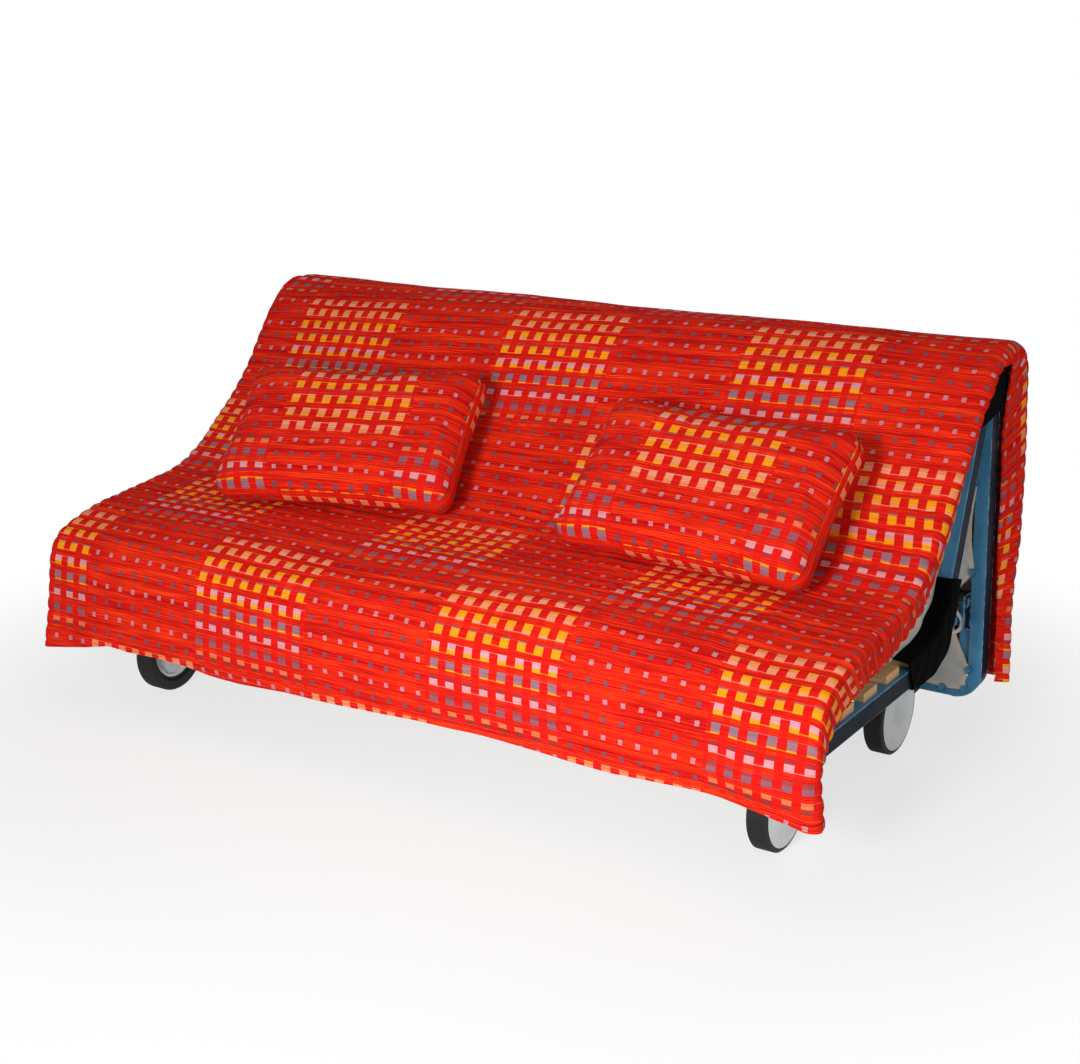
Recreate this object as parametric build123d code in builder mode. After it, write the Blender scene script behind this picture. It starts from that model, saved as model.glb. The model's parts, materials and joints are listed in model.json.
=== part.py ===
from build123d import *
import math
import os

# A three-section folding sofa bed: seat, back and rear frames of square steel tube on four wheels,
# with a quilted cover over a mattress, two loose cushions and a swing-down stand.
# Millimetres. +X is the sitter's left-to-right as seen from the front, +Y points to the back, +Z up.
# The origin is the middle of the overall box, on the floor.

# Frame tube
frame_width = 1860.0
tube_width = 30.0
tube_depth = 40.0
tube_wall = 2.0
tube_edge_radius = 3.0
rear_corner_radius = 65.0

# Sections of the frame
seat_length = 573.0
back_length = 539.0
back_lean = 20.4
rear_tilt = 3.6
rear_floor_clearance = 91.64
seat_face_height = 303.0

# Rails between the side tubes
rail_setback = 150.0
seat_rail_setback = 80.0
rail_depth = 30.0
rail_drop = 5.0
centre_rail_width = 30.0

# Slats
slat_width = 62.0
slat_thickness = 18.0
slat_overlap = 20.0
seat_slat_count = 5
back_slat_count = 4
back_slat_thickness = 12.0

# Hinges
hinge_plate_thickness = 5.0
hinge_plate_reach = 128.0
hinge_plate_width = 28.0
hinge_eye_radius = 16.0
hinge_taper = 45.0
hinge_pin_radius = 6.0
hinge_spacer_reach = 80.0
hinge_layer_gap = 0.3

# Fits
running_gap = 0.05
rest_gap = 0.3
soft_gap = 0.5
tube_end_gap = 0.5

# Wheels and their carriage
wheel_radius = 93.0
wheel_width = 45.0
wheel_inset = 124.0
front_axle_setback = 144.0
rear_axle_lead = 108.37
rim_radius = 62.0
cap_radius = 83.0
cap_bulge = 9.0
tyre_shoulder = 5.0
rim_lip = 8.0
hub_boss_radius = 18.0
hub_web = 16.0
cap_edge = 6.0
axle_radius = 8.0
axle_collar_radius = 14.0
axle_end_gap = 1.0
beam_width = 30.0
beam_depth = 40.0
beam_wheel_gap = 31.0
beam_overhang = 45.0
bracket_thickness = 8.0
bracket_eye_radius = 22.0
bracket_top_width = 90.0
bracket_lap = 32.0

# Fabric sleeves over the hinges
sleeve_thickness = 2.5
sleeve_reach = 140.0

# Mattress and cover
cover_thickness = 14.0
cover_side_overhang = 20.0
flap_depth = 62.0
flap_thickness = 12.0
mattress_end_setback = 144.0
eye_clearance = 19.0
crease_seat_angle = 125.0
crease_back_angle = 100.0
# Corners of the cover's outer side profile, each from the frame that carries it
front_hem_height = 145.25
hem_flare = 31.5
front_overhang = 38.5
front_face_height = 144.0
front_edge_radius = 85.0
crease_lead = 161.0
crease_height = 161.0
crease_radius = 535.0
back_face_reach = 357.3
back_face_height = 83.0
back_face_radius = 400.0
crest_lead = 24.0
crest_height = 80.75
crest_front_radius = 170.0
rear_drop_lead = 181.63
crest_rear_radius = 105.0
rear_hem_setback = 20.7
rear_hem_height = 120.0

# Rear section's canvas, buttons, cross bar and stiffeners
canvas_thickness = 1.5
canvas_lap = 5.0
canvas_top = 150.0
canvas_bottom_lap = 18.0
canvas_corner_cut = 12.0
notch_apex_drop = 1.0
notch_top_lead = 64.0
notch_end_setback = 70.0
notch_depth = 75.0
button_radius = 9.5
button_height = 4.0
button_edge_radius = 1.5
button_top_inset = 54.0
button_corner_inset = 35.0
bottom_button_count = 10
bottom_button_inset = 85.0
cross_bar_radius = 10.0
cross_bar_lead = 41.0
bar_bracket_plate = 4.0
bar_bracket_lead = 18.0
bar_bracket_tail = 58.0
bar_flange_drop = 13.0
bar_flange_width = 30.0
bar_flange_height = 12.0
bar_bolt_radius = 5.0
bar_bolt_head = 4.0
bar_bolt_drop = 40.0
bar_bolt_inset = 10.0
stiffener_size = 25.0
stiffener_wall = 1.5
stiffener_gap = 13.0

# Stand that swings down under the far end of the unfolded bed
stand_leg_inset = 155.0
stand_tube = 25.0
stand_wall = 1.5
stand_pivot_drop = 25.0
stand_pivot_inset = 15.0
stand_pin_radius = 4.0
stand_ear_thickness = 4.0
stand_ear_length = 26.0
stand_foot_height = 12.0
stand_foot_margin = 1.5
stand_floor_gap = 3.0
stand_cross_radius = 12.5
stand_cross_inset = 46.0
knob_offset = 11.0
knob_radius = 15.0
knob_front = 33.0
knob_edge_radius = 2.0

# Hooks that hold the stand while it is folded away
hook_strap = 7.0
hook_thickness = 4.0
hook_loop_radius = 24.5
hook_loop_drop = 4.0
hook_ring_wall = 4.0
hook_inset = 73.0
hook_back = 27.0
hook_tip_angle = 110.0

# Cushions
cushion_width = 600.0
cushion_height = 370.0
cushion_thickness = 175.0
cushion_gusset = 50.0
cushion_corner_radius = 45.0
cushion_draw_in = 14.0
# Each cushion's centre from the middle of the lower hinges' line, and its lean from upright, turn
# about the vertical and roll in its face
cushion_left_place = (-405.0, -204.0, 303.6)
cushion_left_angles = (48.5, 10.0, 3.0)
cushion_right_place = (491.0, -187.0, 307.1)
cushion_right_angles = (46.2, -1.8, -0.7)

os.makedirs("parts", exist_ok=True)


def keep(piece, name):
    piece.label = name
    export_step(piece, "parts/" + name + ".step")


def polar(angle):
    return Vector(0, math.cos(math.radians(angle)), math.sin(math.radians(angle)))


# Each section has a plane at its hinge: x across the sofa, y along the section away from the
# hinge, z up through the mattress when the bed is flat.
x_axis = Vector(1, 0, 0)
back_direction = polar(90 - back_lean)
back_normal = polar(180 - back_lean)
rear_direction = polar(rear_tilt - 90)
rear_normal = polar(rear_tilt)
back_span = back_direction * back_length - back_normal * tube_depth
front_span = seat_length + front_overhang + hem_flare
rear_span = back_span.Y + rear_drop_lead
hinge_low = Vector(0, (front_span - rear_span) / 2, seat_face_height)
hinge_high = hinge_low + back_span
rear_length = (hinge_high.Z - rear_floor_clearance) / math.cos(math.radians(rear_tilt))
seat_plane = Plane(origin=hinge_low, x_dir=x_axis, z_dir=Vector(0, 0, 1))
back_plane = Plane(origin=hinge_low, x_dir=x_axis, z_dir=back_normal)
rear_plane = Plane(origin=hinge_high, x_dir=x_axis, z_dir=rear_normal)
tube_outer_x = frame_width / 2
tube_inner_x = tube_outer_x - tube_width
tube_middle_x = tube_outer_x - tube_width / 2
sides = ((-1, "left"), (1, "right"))


def across(plane, y, z):
    """Plane square to X at a place on a section, for shapes that run across the sofa."""
    return Plane(origin=plane.from_local_coords(Vector(0, y, z)), x_dir=plane.y_dir, z_dir=x_axis)


def along(plane, x, y, z):
    """Plane square to a section's length, for shapes that run along it."""
    return Plane(origin=plane.from_local_coords(Vector(x, y, z)), x_dir=x_axis, z_dir=plane.y_dir)


def box_tube(plane, width, depth, length, wall, edge_radius):
    """Square tube that starts on a plane, with open ends."""
    with BuildPart() as tube:
        with BuildSketch(plane):
            RectangleRounded(width, depth, edge_radius)
            Rectangle(width - 2 * wall, depth - 2 * wall, mode=Mode.SUBTRACT)
        extrude(amount=length)
    return tube.part


def long_tube(plane, side, start, end, middle_height):
    """Side tube of a section, along its length."""
    place = along(plane, side * tube_middle_x, start, middle_height)
    return box_tube(place, tube_width, tube_depth, end - start, tube_wall, tube_edge_radius)


def cross_tube(plane, start, width, depth, middle_height, half_length):
    """Rail from side tube to side tube, whose near face lies at start."""
    place = across(plane, start + width / 2, middle_height)
    place = place.offset(-half_length)
    return box_tube(place, width, depth, 2 * half_length, tube_wall, tube_edge_radius)


def slat_row(plane, starts, half_length, bottom, thickness):
    """Row of flat wooden slats across a section."""
    with BuildPart() as slats:
        for start in starts:
            middle = bottom + thickness / 2
            with BuildSketch(across(plane, start + slat_width / 2, middle).offset(-half_length)):
                Rectangle(slat_width, thickness)
            extrude(amount=2 * half_length)
    return slats.part


# Seat section
for side, hand in sides:
    tube = long_tube(seat_plane, side, -seat_length, -tube_end_gap, -tube_depth / 2)
    keep(tube, "seat_side_tube_" + hand)
rail_half = tube_inner_x
seat_rear_rail_start = -seat_rail_setback - rail_depth
keep(
    cross_tube(seat_plane, -seat_length, tube_width, tube_depth, -tube_depth / 2, rail_half),
    "seat_front_rail",
)
keep(
    cross_tube(seat_plane, seat_rear_rail_start, rail_depth, tube_depth, -tube_depth / 2, rail_half),
    "seat_rear_rail",
)
centre_start = -seat_length + tube_width
centre_place = along(seat_plane, 0, centre_start, -tube_depth / 2)
centre_length = seat_rear_rail_start - centre_start
keep(
    box_tube(centre_place, centre_rail_width, tube_depth, centre_length, tube_wall, tube_edge_radius),
    "seat_centre_rail",
)
seat_slat_span = seat_length - seat_rail_setback - slat_width
seat_slat_starts = [
    -seat_length + seat_slat_span * i / (seat_slat_count - 1) for i in range(seat_slat_count)
]
slat_half = tube_inner_x + slat_overlap
keep(slat_row(seat_plane, seat_slat_starts, slat_half, 0, slat_thickness), "seat_slats")

# Wheel carriage: two beams under the seat rails, brackets and fixed stub axles
wheel_outer_x = tube_outer_x - wheel_inset
wheel_inner_x = wheel_outer_x - wheel_width
front_axle_y = hinge_low.Y - seat_length + front_axle_setback
rear_axle_y = hinge_high.Y - rear_axle_lead
beam_outer_x = wheel_inner_x - beam_wheel_gap
beam_middle_x = beam_outer_x - beam_width / 2
beam_start = front_axle_y - beam_overhang - hinge_low.Y
beam_end = rear_axle_y + beam_overhang - hinge_low.Y
beam_middle_z = -tube_depth - beam_depth / 2
for side, hand in sides:
    place = along(seat_plane, side * beam_middle_x, beam_start, beam_middle_z)
    beam = box_tube(place, beam_width, beam_depth, beam_end - beam_start, tube_wall, tube_edge_radius)
    keep(beam, "carriage_beam_" + hand)
beam_bottom_z = seat_face_height - tube_depth - beam_depth
axle_places = ((front_axle_y, "front"), (rear_axle_y, "rear"))


def facing(side, x, y, z):
    """Plane at a place beside the sofa, whose z points away from the middle."""
    return Plane(origin=Vector(side * x, y, z), x_dir=Vector(0, 1, 0), z_dir=x_axis * side)


def axle_bracket(side, y):
    """Plate from the beam's side down to the axle."""
    with BuildPart() as bracket:
        top = beam_bottom_z + bracket_lap - wheel_radius
        with BuildSketch(facing(side, beam_outer_x, y, wheel_radius)):
            upright = side
            with Locations((0, upright * (top - bracket_lap / 2))):
                Rectangle(bracket_top_width, bracket_lap)
            Circle(bracket_eye_radius)
            make_hull()
            Circle(axle_radius + rest_gap, mode=Mode.SUBTRACT)
        extrude(amount=bracket_thickness)
    return bracket.part


def stub_axle(side, y):
    """Fixed axle with a collar between the bracket and the hub."""
    with BuildPart() as axle:
        root = facing(side, beam_outer_x, y, wheel_radius)
        cap_inside = wheel_outer_x - axle_end_gap - cap_edge
        with BuildSketch(root):
            Circle(axle_radius)
        extrude(amount=cap_inside - beam_outer_x)
        with BuildSketch(root.offset(bracket_thickness)):
            Circle(axle_collar_radius)
        extrude(amount=wheel_inner_x - beam_outer_x - bracket_thickness)
    return axle.part


with BuildPart() as axle_brackets:
    for y, station in axle_places:
        for side, hand in sides:
            add(axle_bracket(side, y))
keep(axle_brackets.part, "axle_brackets")
with BuildPart() as axles:
    for y, station in axle_places:
        for side, hand in sides:
            add(stub_axle(side, y))
keep(axles.part, "wheel_axles")


def wheel_turn(side, y, outline, dome=None):
    """Turn an outline of (axial, radial) corners about a wheel's axle."""
    axle_line = Axis(Vector(0, y, wheel_radius), x_axis)
    inner = side * wheel_inner_x
    face = Plane(origin=Vector(inner, y, wheel_radius), x_dir=x_axis * side, z_dir=Vector(0, -side, 0))
    with BuildPart() as turned:
        with BuildSketch(face):
            with BuildLine():
                if dome:
                    Polyline(*outline)
                    ThreePointArc(outline[-1], dome, outline[0])
                else:
                    Polyline(*outline, close=True)
            make_face()
        revolve(axis=axle_line)
    return turned.part


tyre_outline = (
    (0, rim_radius + rim_lip),
    (0, wheel_radius - tyre_shoulder),
    (tyre_shoulder, wheel_radius),
    (wheel_width - tyre_shoulder, wheel_radius),
    (wheel_width, wheel_radius - tyre_shoulder),
    (wheel_width, cap_radius + rest_gap),
    (wheel_width - cap_edge - tyre_shoulder, cap_radius + rest_gap),
    (wheel_width - cap_edge - tyre_shoulder, rim_radius + rest_gap),
    (rim_lip, rim_radius + rest_gap),
    (rim_lip, rim_radius + rim_lip),
)
bore_radius = axle_radius + running_gap
cap_back = wheel_width - cap_edge - tyre_shoulder + rest_gap
cap_outline = (
    (wheel_width + cap_bulge, 0),
    (wheel_width - cap_edge, 0),
    (wheel_width - cap_edge, bore_radius),
    (running_gap, bore_radius),
    (running_gap, hub_boss_radius),
    (hub_web, hub_boss_radius),
    (hub_web, rim_radius - cap_edge),
    (rim_lip, rim_radius - cap_edge),
    (rim_lip, rim_radius),
    (cap_back, rim_radius),
    (cap_back, cap_radius),
    (wheel_width, cap_radius),
)
dome_radius = (cap_radius * cap_radius + cap_bulge * cap_bulge) / (2 * cap_bulge)
dome_angle = math.asin(cap_radius / dome_radius) / 2
dome_point = (
    wheel_width + cap_bulge - dome_radius * (1 - math.cos(dome_angle)),
    dome_radius * math.sin(dome_angle),
)
for y, station in axle_places:
    for side, hand in sides:
        keep(wheel_turn(side, y, tyre_outline), "tyre_" + station + "_" + hand)
        keep(wheel_turn(side, y, cap_outline, dome_point), "hub_" + station + "_" + hand)


# Hinges: a plate on each frame, side by side inside the side tubes, on one pin
def hinge_plates(plane, eye_y, eye_z, reach, middle_z, outer_x, hole, spacer):
    """Pair of plates, left and right, from an eye at the pin along a side tube."""
    with BuildPart() as plates:
        for side, hand in sides:
            near = plane.from_local_coords(Vector(side * outer_x, 0, 0))
            face = Plane(origin=near, x_dir=plane.y_dir, z_dir=x_axis)
            taper = math.copysign(hinge_taper, reach)
            with BuildSketch(face):
                with Locations((eye_y, eye_z)):
                    Circle(hinge_eye_radius)
                with Locations((eye_y + taper - taper / 4, middle_z)):
                    Rectangle(hinge_taper / 2, hinge_plate_width)
                make_hull()
                with Locations((eye_y + (reach + taper / 2) / 2, middle_z)):
                    Rectangle(abs(reach) - hinge_taper / 2, hinge_plate_width)
                with Locations((eye_y, eye_z)):
                    Circle(hole, mode=Mode.SUBTRACT)
            extrude(amount=-side * hinge_plate_thickness)
            if spacer:
                with BuildSketch(face):
                    spacer_length = math.copysign(hinge_spacer_reach, reach) / 2
                    with Locations((eye_y + reach - spacer_length, middle_z)):
                        Rectangle(hinge_spacer_reach, hinge_plate_width)
                extrude(amount=side * (tube_inner_x - outer_x))
    return plates.part


def hinge_pins(plane, eye_y, eye_z):
    """Pin at each side through both plates."""
    length = 2 * hinge_plate_thickness + hinge_layer_gap
    with BuildPart() as pins:
        for side, hand in sides:
            start = tube_inner_x if side < 0 else tube_inner_x - length
            with BuildSketch(across(plane, eye_y, eye_z).offset(side * start if side > 0 else -start)):
                Circle(hinge_pin_radius)
            extrude(amount=length)
    return pins.part


fixed_hole = hinge_pin_radius + rest_gap
running_hole = hinge_pin_radius + running_gap
inner_layer_x = tube_inner_x - hinge_plate_thickness - hinge_layer_gap
half_depth = tube_depth / 2
seat_reach = rest_gap - seat_rail_setback
keep(
    hinge_plates(seat_plane, 0, 0, seat_reach, -half_depth, tube_inner_x, fixed_hole, False),
    "seat_hinge_plates",
)
lower_plates = hinge_plates(
    back_plane, 0, 0, hinge_plate_reach, -half_depth, inner_layer_x, running_hole, True
)
upper_plates = hinge_plates(
    back_plane, back_length, -tube_depth, -hinge_plate_reach, -half_depth, tube_inner_x,
    fixed_hole, False,
)
with BuildPart() as back_hinge_plates:
    add(lower_plates)
    add(upper_plates)
keep(back_hinge_plates.part, "back_hinge_plates")
keep(hinge_pins(seat_plane, 0, 0), "lower_hinge_pins")
keep(
    hinge_plates(rear_plane, 0, 0, hinge_plate_reach, half_depth, inner_layer_x, running_hole, True),
    "rear_hinge_plates",
)
keep(hinge_pins(back_plane, back_length, -tube_depth), "upper_hinge_pins")

# Back section
for side, hand in sides:
    tube = long_tube(back_plane, side, tube_end_gap, back_length - tube_end_gap, -half_depth)
    keep(tube, "back_side_tube_" + hand)
upper_rail_start = back_length - rail_setback - rail_depth
back_rail_top = -back_slat_thickness - rest_gap
rail_middle_z = back_rail_top - (tube_depth + back_rail_top - rail_drop) / 2
rail_height = tube_depth + back_rail_top - rail_drop
with BuildPart() as back_rails:
    for start in (rail_setback, upper_rail_start):
        add(cross_tube(back_plane, start, rail_depth, rail_height, rail_middle_z, rail_half))
keep(back_rails.part, "back_rails")
back_slat_span = upper_rail_start - rail_setback
back_slat_starts = [
    rail_setback + rail_depth / 2 - slat_width / 2 + back_slat_span * i / (back_slat_count - 1)
    for i in range(back_slat_count)
]
back_slat_half = tube_inner_x - rest_gap
keep(
    slat_row(
        back_plane, back_slat_starts, back_slat_half, -back_slat_thickness, back_slat_thickness
    ),
    "back_slats",
)


# Rear section: side tubes turn the lower corners in one bend
def corner_outline(side, inset):
    """Outline of a side tube and its corner, in the section's plane, drawn inset from its walls."""
    outer = tube_outer_x - inset
    inner = tube_inner_x + inset
    end = rear_length - inset
    bend_x = tube_outer_x - rear_corner_radius
    bend_y = rear_length - rear_corner_radius
    outer_radius = rear_corner_radius - inset
    inner_radius = rear_corner_radius - tube_width + inset
    turn = math.sin(math.radians(45))
    with BuildLine() as outline:
        Line((side * inner, tube_end_gap), (side * outer, tube_end_gap))
        Line((side * outer, tube_end_gap), (side * outer, bend_y))
        ThreePointArc(
            (side * outer, bend_y),
            (side * (bend_x + outer_radius * turn), bend_y + outer_radius * turn),
            (side * bend_x, end),
        )
        Line((side * bend_x, end), (side * bend_x, bend_y + inner_radius))
        ThreePointArc(
            (side * bend_x, bend_y + inner_radius),
            (side * (bend_x + inner_radius * turn), bend_y + inner_radius * turn),
            (side * inner, bend_y),
        )
        Line((side * inner, bend_y), (side * inner, tube_end_gap))
    return outline.line


for side, hand in sides:
    with BuildPart() as rear_tube:
        with BuildSketch(rear_plane):
            add(corner_outline(side, 0))
            make_face()
        extrude(amount=tube_depth)
        with BuildSketch(rear_plane.offset(tube_wall)):
            add(corner_outline(side, tube_wall))
            make_face()
        extrude(amount=tube_depth - 2 * tube_wall, mode=Mode.SUBTRACT)
    keep(rear_tube.part, "rear_side_tube_" + hand)
bottom_half = tube_outer_x - rear_corner_radius
bottom_start = rear_length - tube_width
keep(
    cross_tube(rear_plane, bottom_start, tube_width, tube_depth, half_depth, bottom_half),
    "rear_bottom_rail",
)
keep(
    cross_tube(rear_plane, rail_setback, rail_depth, tube_depth, half_depth, rail_half),
    "rear_top_rail",
)

# Canvas under the rear frame, notched at the sides, with its buttons
canvas_half = tube_inner_x + canvas_lap
canvas_end = rear_length - canvas_bottom_lap
pivot_y = rear_length - stand_pivot_inset
flat_underside = seat_face_height - tube_depth
leg_length = flat_underside - stand_pivot_drop - stand_foot_height - stand_floor_gap
stand_cross_place = pivot_y - leg_length + stand_cross_inset
cross_bar_place = stand_cross_place - cross_bar_lead
notch_apex = cross_bar_place + notch_apex_drop
notch_top = notch_apex - notch_top_lead
notch_bottom = rear_length - notch_end_setback
button_side_places = (canvas_top + button_top_inset, notch_top, notch_bottom)
with BuildPart() as canvas:
    with BuildSketch(rear_plane.offset(-canvas_thickness)):
        with BuildLine():
            Polyline(
                (-canvas_half, canvas_top),
                (canvas_half, canvas_top),
                (canvas_half, notch_top),
                (canvas_half - notch_depth, notch_apex),
                (canvas_half, notch_bottom),
                (canvas_half, canvas_end - canvas_corner_cut),
                (canvas_half - canvas_corner_cut, canvas_end),
                (canvas_corner_cut - canvas_half, canvas_end),
                (-canvas_half, canvas_end - canvas_corner_cut),
                (-canvas_half, notch_bottom),
                (notch_depth - canvas_half, notch_apex),
                (-canvas_half, notch_top),
                close=True,
            )
        make_face()
    extrude(amount=canvas_thickness)
keep(canvas.part, "rear_canvas")
button_places = []
for side, hand in sides:
    for place in button_side_places:
        button_places.append((side * (canvas_half - canvas_lap / 2), place))
    corner_x = tube_outer_x - button_corner_inset
    button_places.append((side * corner_x, canvas_end - canvas_lap))
for i in range(bottom_button_count):
    reach = tube_outer_x - bottom_button_inset
    step = 2 * reach / (bottom_button_count - 1)
    button_places.append((i * step - reach, canvas_end))
with BuildPart() as buttons:
    with BuildSketch(rear_plane.offset(-canvas_thickness)):
        with Locations(*button_places):
            Circle(button_radius)
    extrude(amount=-button_height)
    fillet(buttons.faces().group_by(SortBy.AREA)[-1].edges(), button_edge_radius)
keep(buttons.part, "canvas_buttons")

# Cross bar behind the canvas, its brackets and bolts, and the stiffeners beside the side tubes
bar_half = tube_inner_x - rest_gap
with BuildPart() as cross_bar:
    with BuildSketch(across(rear_plane, cross_bar_place, half_depth).offset(-bar_half)):
        Circle(cross_bar_radius)
    extrude(amount=2 * bar_half)
keep(cross_bar.part, "rear_cross_bar")
bar_bracket_start = cross_bar_place - bar_bracket_lead
bar_bracket_end = cross_bar_place + bar_bracket_tail
bar_flange_start = cross_bar_place + bar_flange_drop
bar_bolt_place = cross_bar_place + bar_bolt_drop
bracket_length = bar_bracket_end - bar_bracket_start
flange_length = bar_bracket_end - bar_flange_start
with BuildPart() as bar_brackets:
    for side, hand in sides:
        wall = Plane(
            origin=rear_plane.from_local_coords(Vector(side * tube_inner_x, 0, 0)),
            x_dir=rear_plane.y_dir,
            z_dir=x_axis * -side,
        )
        lift = -side
        with BuildSketch(wall):
            with Locations(((bar_bracket_start + bar_bracket_end) / 2, -lift * half_depth)):
                Rectangle(bracket_length, tube_width)
            with Locations((cross_bar_place, -lift * half_depth)):
                Circle(cross_bar_radius + rest_gap, mode=Mode.SUBTRACT)
        extrude(amount=bar_bracket_plate)
        flange_middle = side * (tube_inner_x - bar_flange_width / 2)
        with BuildSketch(rear_plane.offset(bar_flange_height)):
            with Locations((flange_middle, (bar_flange_start + bar_bracket_end) / 2)):
                Rectangle(bar_flange_width, flange_length)
        extrude(amount=bar_bracket_plate)
keep(bar_brackets.part, "cross_bar_brackets")
with BuildPart() as bar_bolts:
    for side, hand in sides:
        with BuildSketch(rear_plane.offset(bar_flange_height)):
            with Locations((side * (tube_inner_x - bar_bolt_inset), bar_bolt_place)):
                RegularPolygon(bar_bolt_radius, 6)
        extrude(amount=-bar_bolt_head)
keep(bar_bolts.part, "cross_bar_bolts")
stiffener_start = bar_bracket_end + stiffener_gap
stiffener_end = rear_length - rear_corner_radius
with BuildPart() as stiffeners:
    for side, hand in sides:
        middle = side * (tube_inner_x - stiffener_size / 2)
        with BuildSketch(along(rear_plane, middle, stiffener_start, half_depth)):
            Rectangle(stiffener_size, stiffener_size)
            inside = stiffener_size - 2 * stiffener_wall
            Rectangle(inside, inside, mode=Mode.SUBTRACT)
        extrude(amount=stiffener_end - stiffener_start)
keep(stiffeners.part, "rear_stiffeners")

# Stand: two legs and a round cross tube with a knob at each end, on ears under the bottom rail
stand_leg_x = tube_outer_x - stand_leg_inset
hook_arm_x = tube_outer_x - hook_inset
knob_x = hook_arm_x + knob_offset
pivot_z = -stand_pivot_drop
leg_tail = stand_tube / 2
with BuildPart() as stand_legs:
    for side, hand in sides:
        with BuildSketch(along(rear_plane, side * stand_leg_x, pivot_y - leg_length, pivot_z)):
            Rectangle(stand_tube, stand_tube)
            inside = stand_tube - 2 * stand_wall
            Rectangle(inside, inside, mode=Mode.SUBTRACT)
        extrude(amount=leg_length + leg_tail)
    with BuildSketch(across(rear_plane, pivot_y, pivot_z).offset(-tube_outer_x)):
        Circle(stand_pin_radius + running_gap)
    extrude(amount=frame_width, mode=Mode.SUBTRACT)
    with BuildSketch(across(rear_plane, stand_cross_place, pivot_z).offset(-tube_outer_x)):
        Circle(stand_cross_radius - stand_wall)
    extrude(amount=frame_width, mode=Mode.SUBTRACT)
keep(stand_legs.part, "stand_legs")
ear_offset = stand_tube / 2 + rest_gap
with BuildPart() as stand_ears:
    for side, hand in sides:
        for cheek in (-1, 1):
            start = side * stand_leg_x + cheek * ear_offset
            with BuildSketch(across(rear_plane, pivot_y, 0).offset(start)):
                with Locations((0, pivot_z)):
                    Circle(stand_ear_length / 2)
                with Locations((0, -canvas_thickness - stand_ear_thickness / 2)):
                    Rectangle(stand_ear_length, stand_ear_thickness)
                make_hull()
                with Locations((0, pivot_z)):
                    Circle(stand_pin_radius + rest_gap, mode=Mode.SUBTRACT)
            extrude(amount=cheek * stand_ear_thickness)
keep(stand_ears.part, "stand_ears")
pin_half = ear_offset + stand_ear_thickness
with BuildPart() as stand_pins:
    for side, hand in sides:
        with BuildSketch(across(rear_plane, pivot_y, pivot_z).offset(side * stand_leg_x - pin_half)):
            Circle(stand_pin_radius)
        extrude(amount=2 * pin_half)
keep(stand_pins.part, "stand_pins")
foot_size = stand_tube + 2 * stand_foot_margin
with BuildPart() as stand_feet:
    for side, hand in sides:
        foot_start = pivot_y - leg_length - stand_foot_height
        with BuildSketch(along(rear_plane, side * stand_leg_x, foot_start, pivot_z)):
            RectangleRounded(foot_size, foot_size, tube_edge_radius)
        extrude(amount=stand_foot_height)
keep(stand_feet.part, "stand_feet")
cross_half = knob_x - knob_radius
cross_bore = stand_cross_radius - stand_wall
with BuildPart() as stand_cross_tube:
    with BuildSketch(across(rear_plane, stand_cross_place, pivot_z).offset(-cross_half)):
        Circle(cross_bore - rest_gap)
        Circle(cross_bore - rest_gap - stand_wall, mode=Mode.SUBTRACT)
    extrude(amount=2 * cross_half)
keep(stand_cross_tube.part, "stand_cross_tube")
knob_height = knob_front - stand_pivot_drop + stand_cross_radius
with BuildPart() as stand_knobs:
    with BuildSketch(rear_plane.offset(-knob_front)):
        with Locations((-knob_x, stand_cross_place), (knob_x, stand_cross_place)):
            Circle(knob_radius)
    extrude(amount=knob_height)
    front_edges = stand_knobs.faces().filter_by(rear_plane).sort_by(Axis(
        rear_plane.origin, rear_plane.z_dir))[:2].edges()
    fillet(front_edges, knob_edge_radius)
keep(stand_knobs.part, "stand_knobs")


# Hooks: a ring on the cross bar, an arm out through the canvas notch and an open loop round the knob
def hook(side):
    loop_y = stand_cross_place + hook_loop_drop
    start = (hook_arm_x, cross_bar_place)
    across_x = knob_x - hook_arm_x
    down_y = loop_y - cross_bar_place
    distance = math.hypot(across_x, down_y)
    heading = math.atan2(down_y, across_x) - math.asin(hook_loop_radius / distance)
    straight = math.sqrt(distance * distance - hook_loop_radius * hook_loop_radius)
    touch_x = hook_arm_x + straight * math.cos(heading)
    touch_y = cross_bar_place + straight * math.sin(heading)
    tip = math.radians(hook_tip_angle)
    tip_x = knob_x + hook_loop_radius * math.cos(tip)
    tip_y = loop_y + hook_loop_radius * math.sin(tip)
    middle = (tip + heading - math.pi / 2) / 2
    middle_x = knob_x + hook_loop_radius * math.cos(middle)
    middle_y = loop_y + hook_loop_radius * math.sin(middle)
    ring_outer = cross_bar_radius + hook_ring_wall
    with BuildPart() as strap:
        with BuildSketch(rear_plane.offset(-hook_back)):
            with BuildLine():
                Line((side * start[0], start[1]), (side * touch_x, touch_y))
                ThreePointArc(
                    (side * touch_x, touch_y),
                    (side * middle_x, middle_y),
                    (side * tip_x, tip_y),
                )
            trace(line_width=hook_strap)
        extrude(amount=-hook_thickness)
        with BuildSketch(rear_plane.offset(-hook_back - hook_thickness)):
            with Locations((side * hook_arm_x, cross_bar_place)):
                Rectangle(hook_strap, hook_strap)
        extrude(amount=hook_back + hook_thickness + half_depth - cross_bar_radius)
        bar_end = across(rear_plane, cross_bar_place, half_depth)
        with BuildSketch(bar_end.offset(side * hook_arm_x - hook_strap / 2)):
            Circle(ring_outer)
        extrude(amount=hook_strap)
        with BuildSketch(bar_end.offset(side * hook_arm_x - hook_strap)):
            Circle(cross_bar_radius + running_gap)
        extrude(amount=2 * hook_strap, mode=Mode.SUBTRACT)
    return strap.part


for side, hand in sides:
    keep(hook(side), "stand_hook_" + hand)


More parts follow.
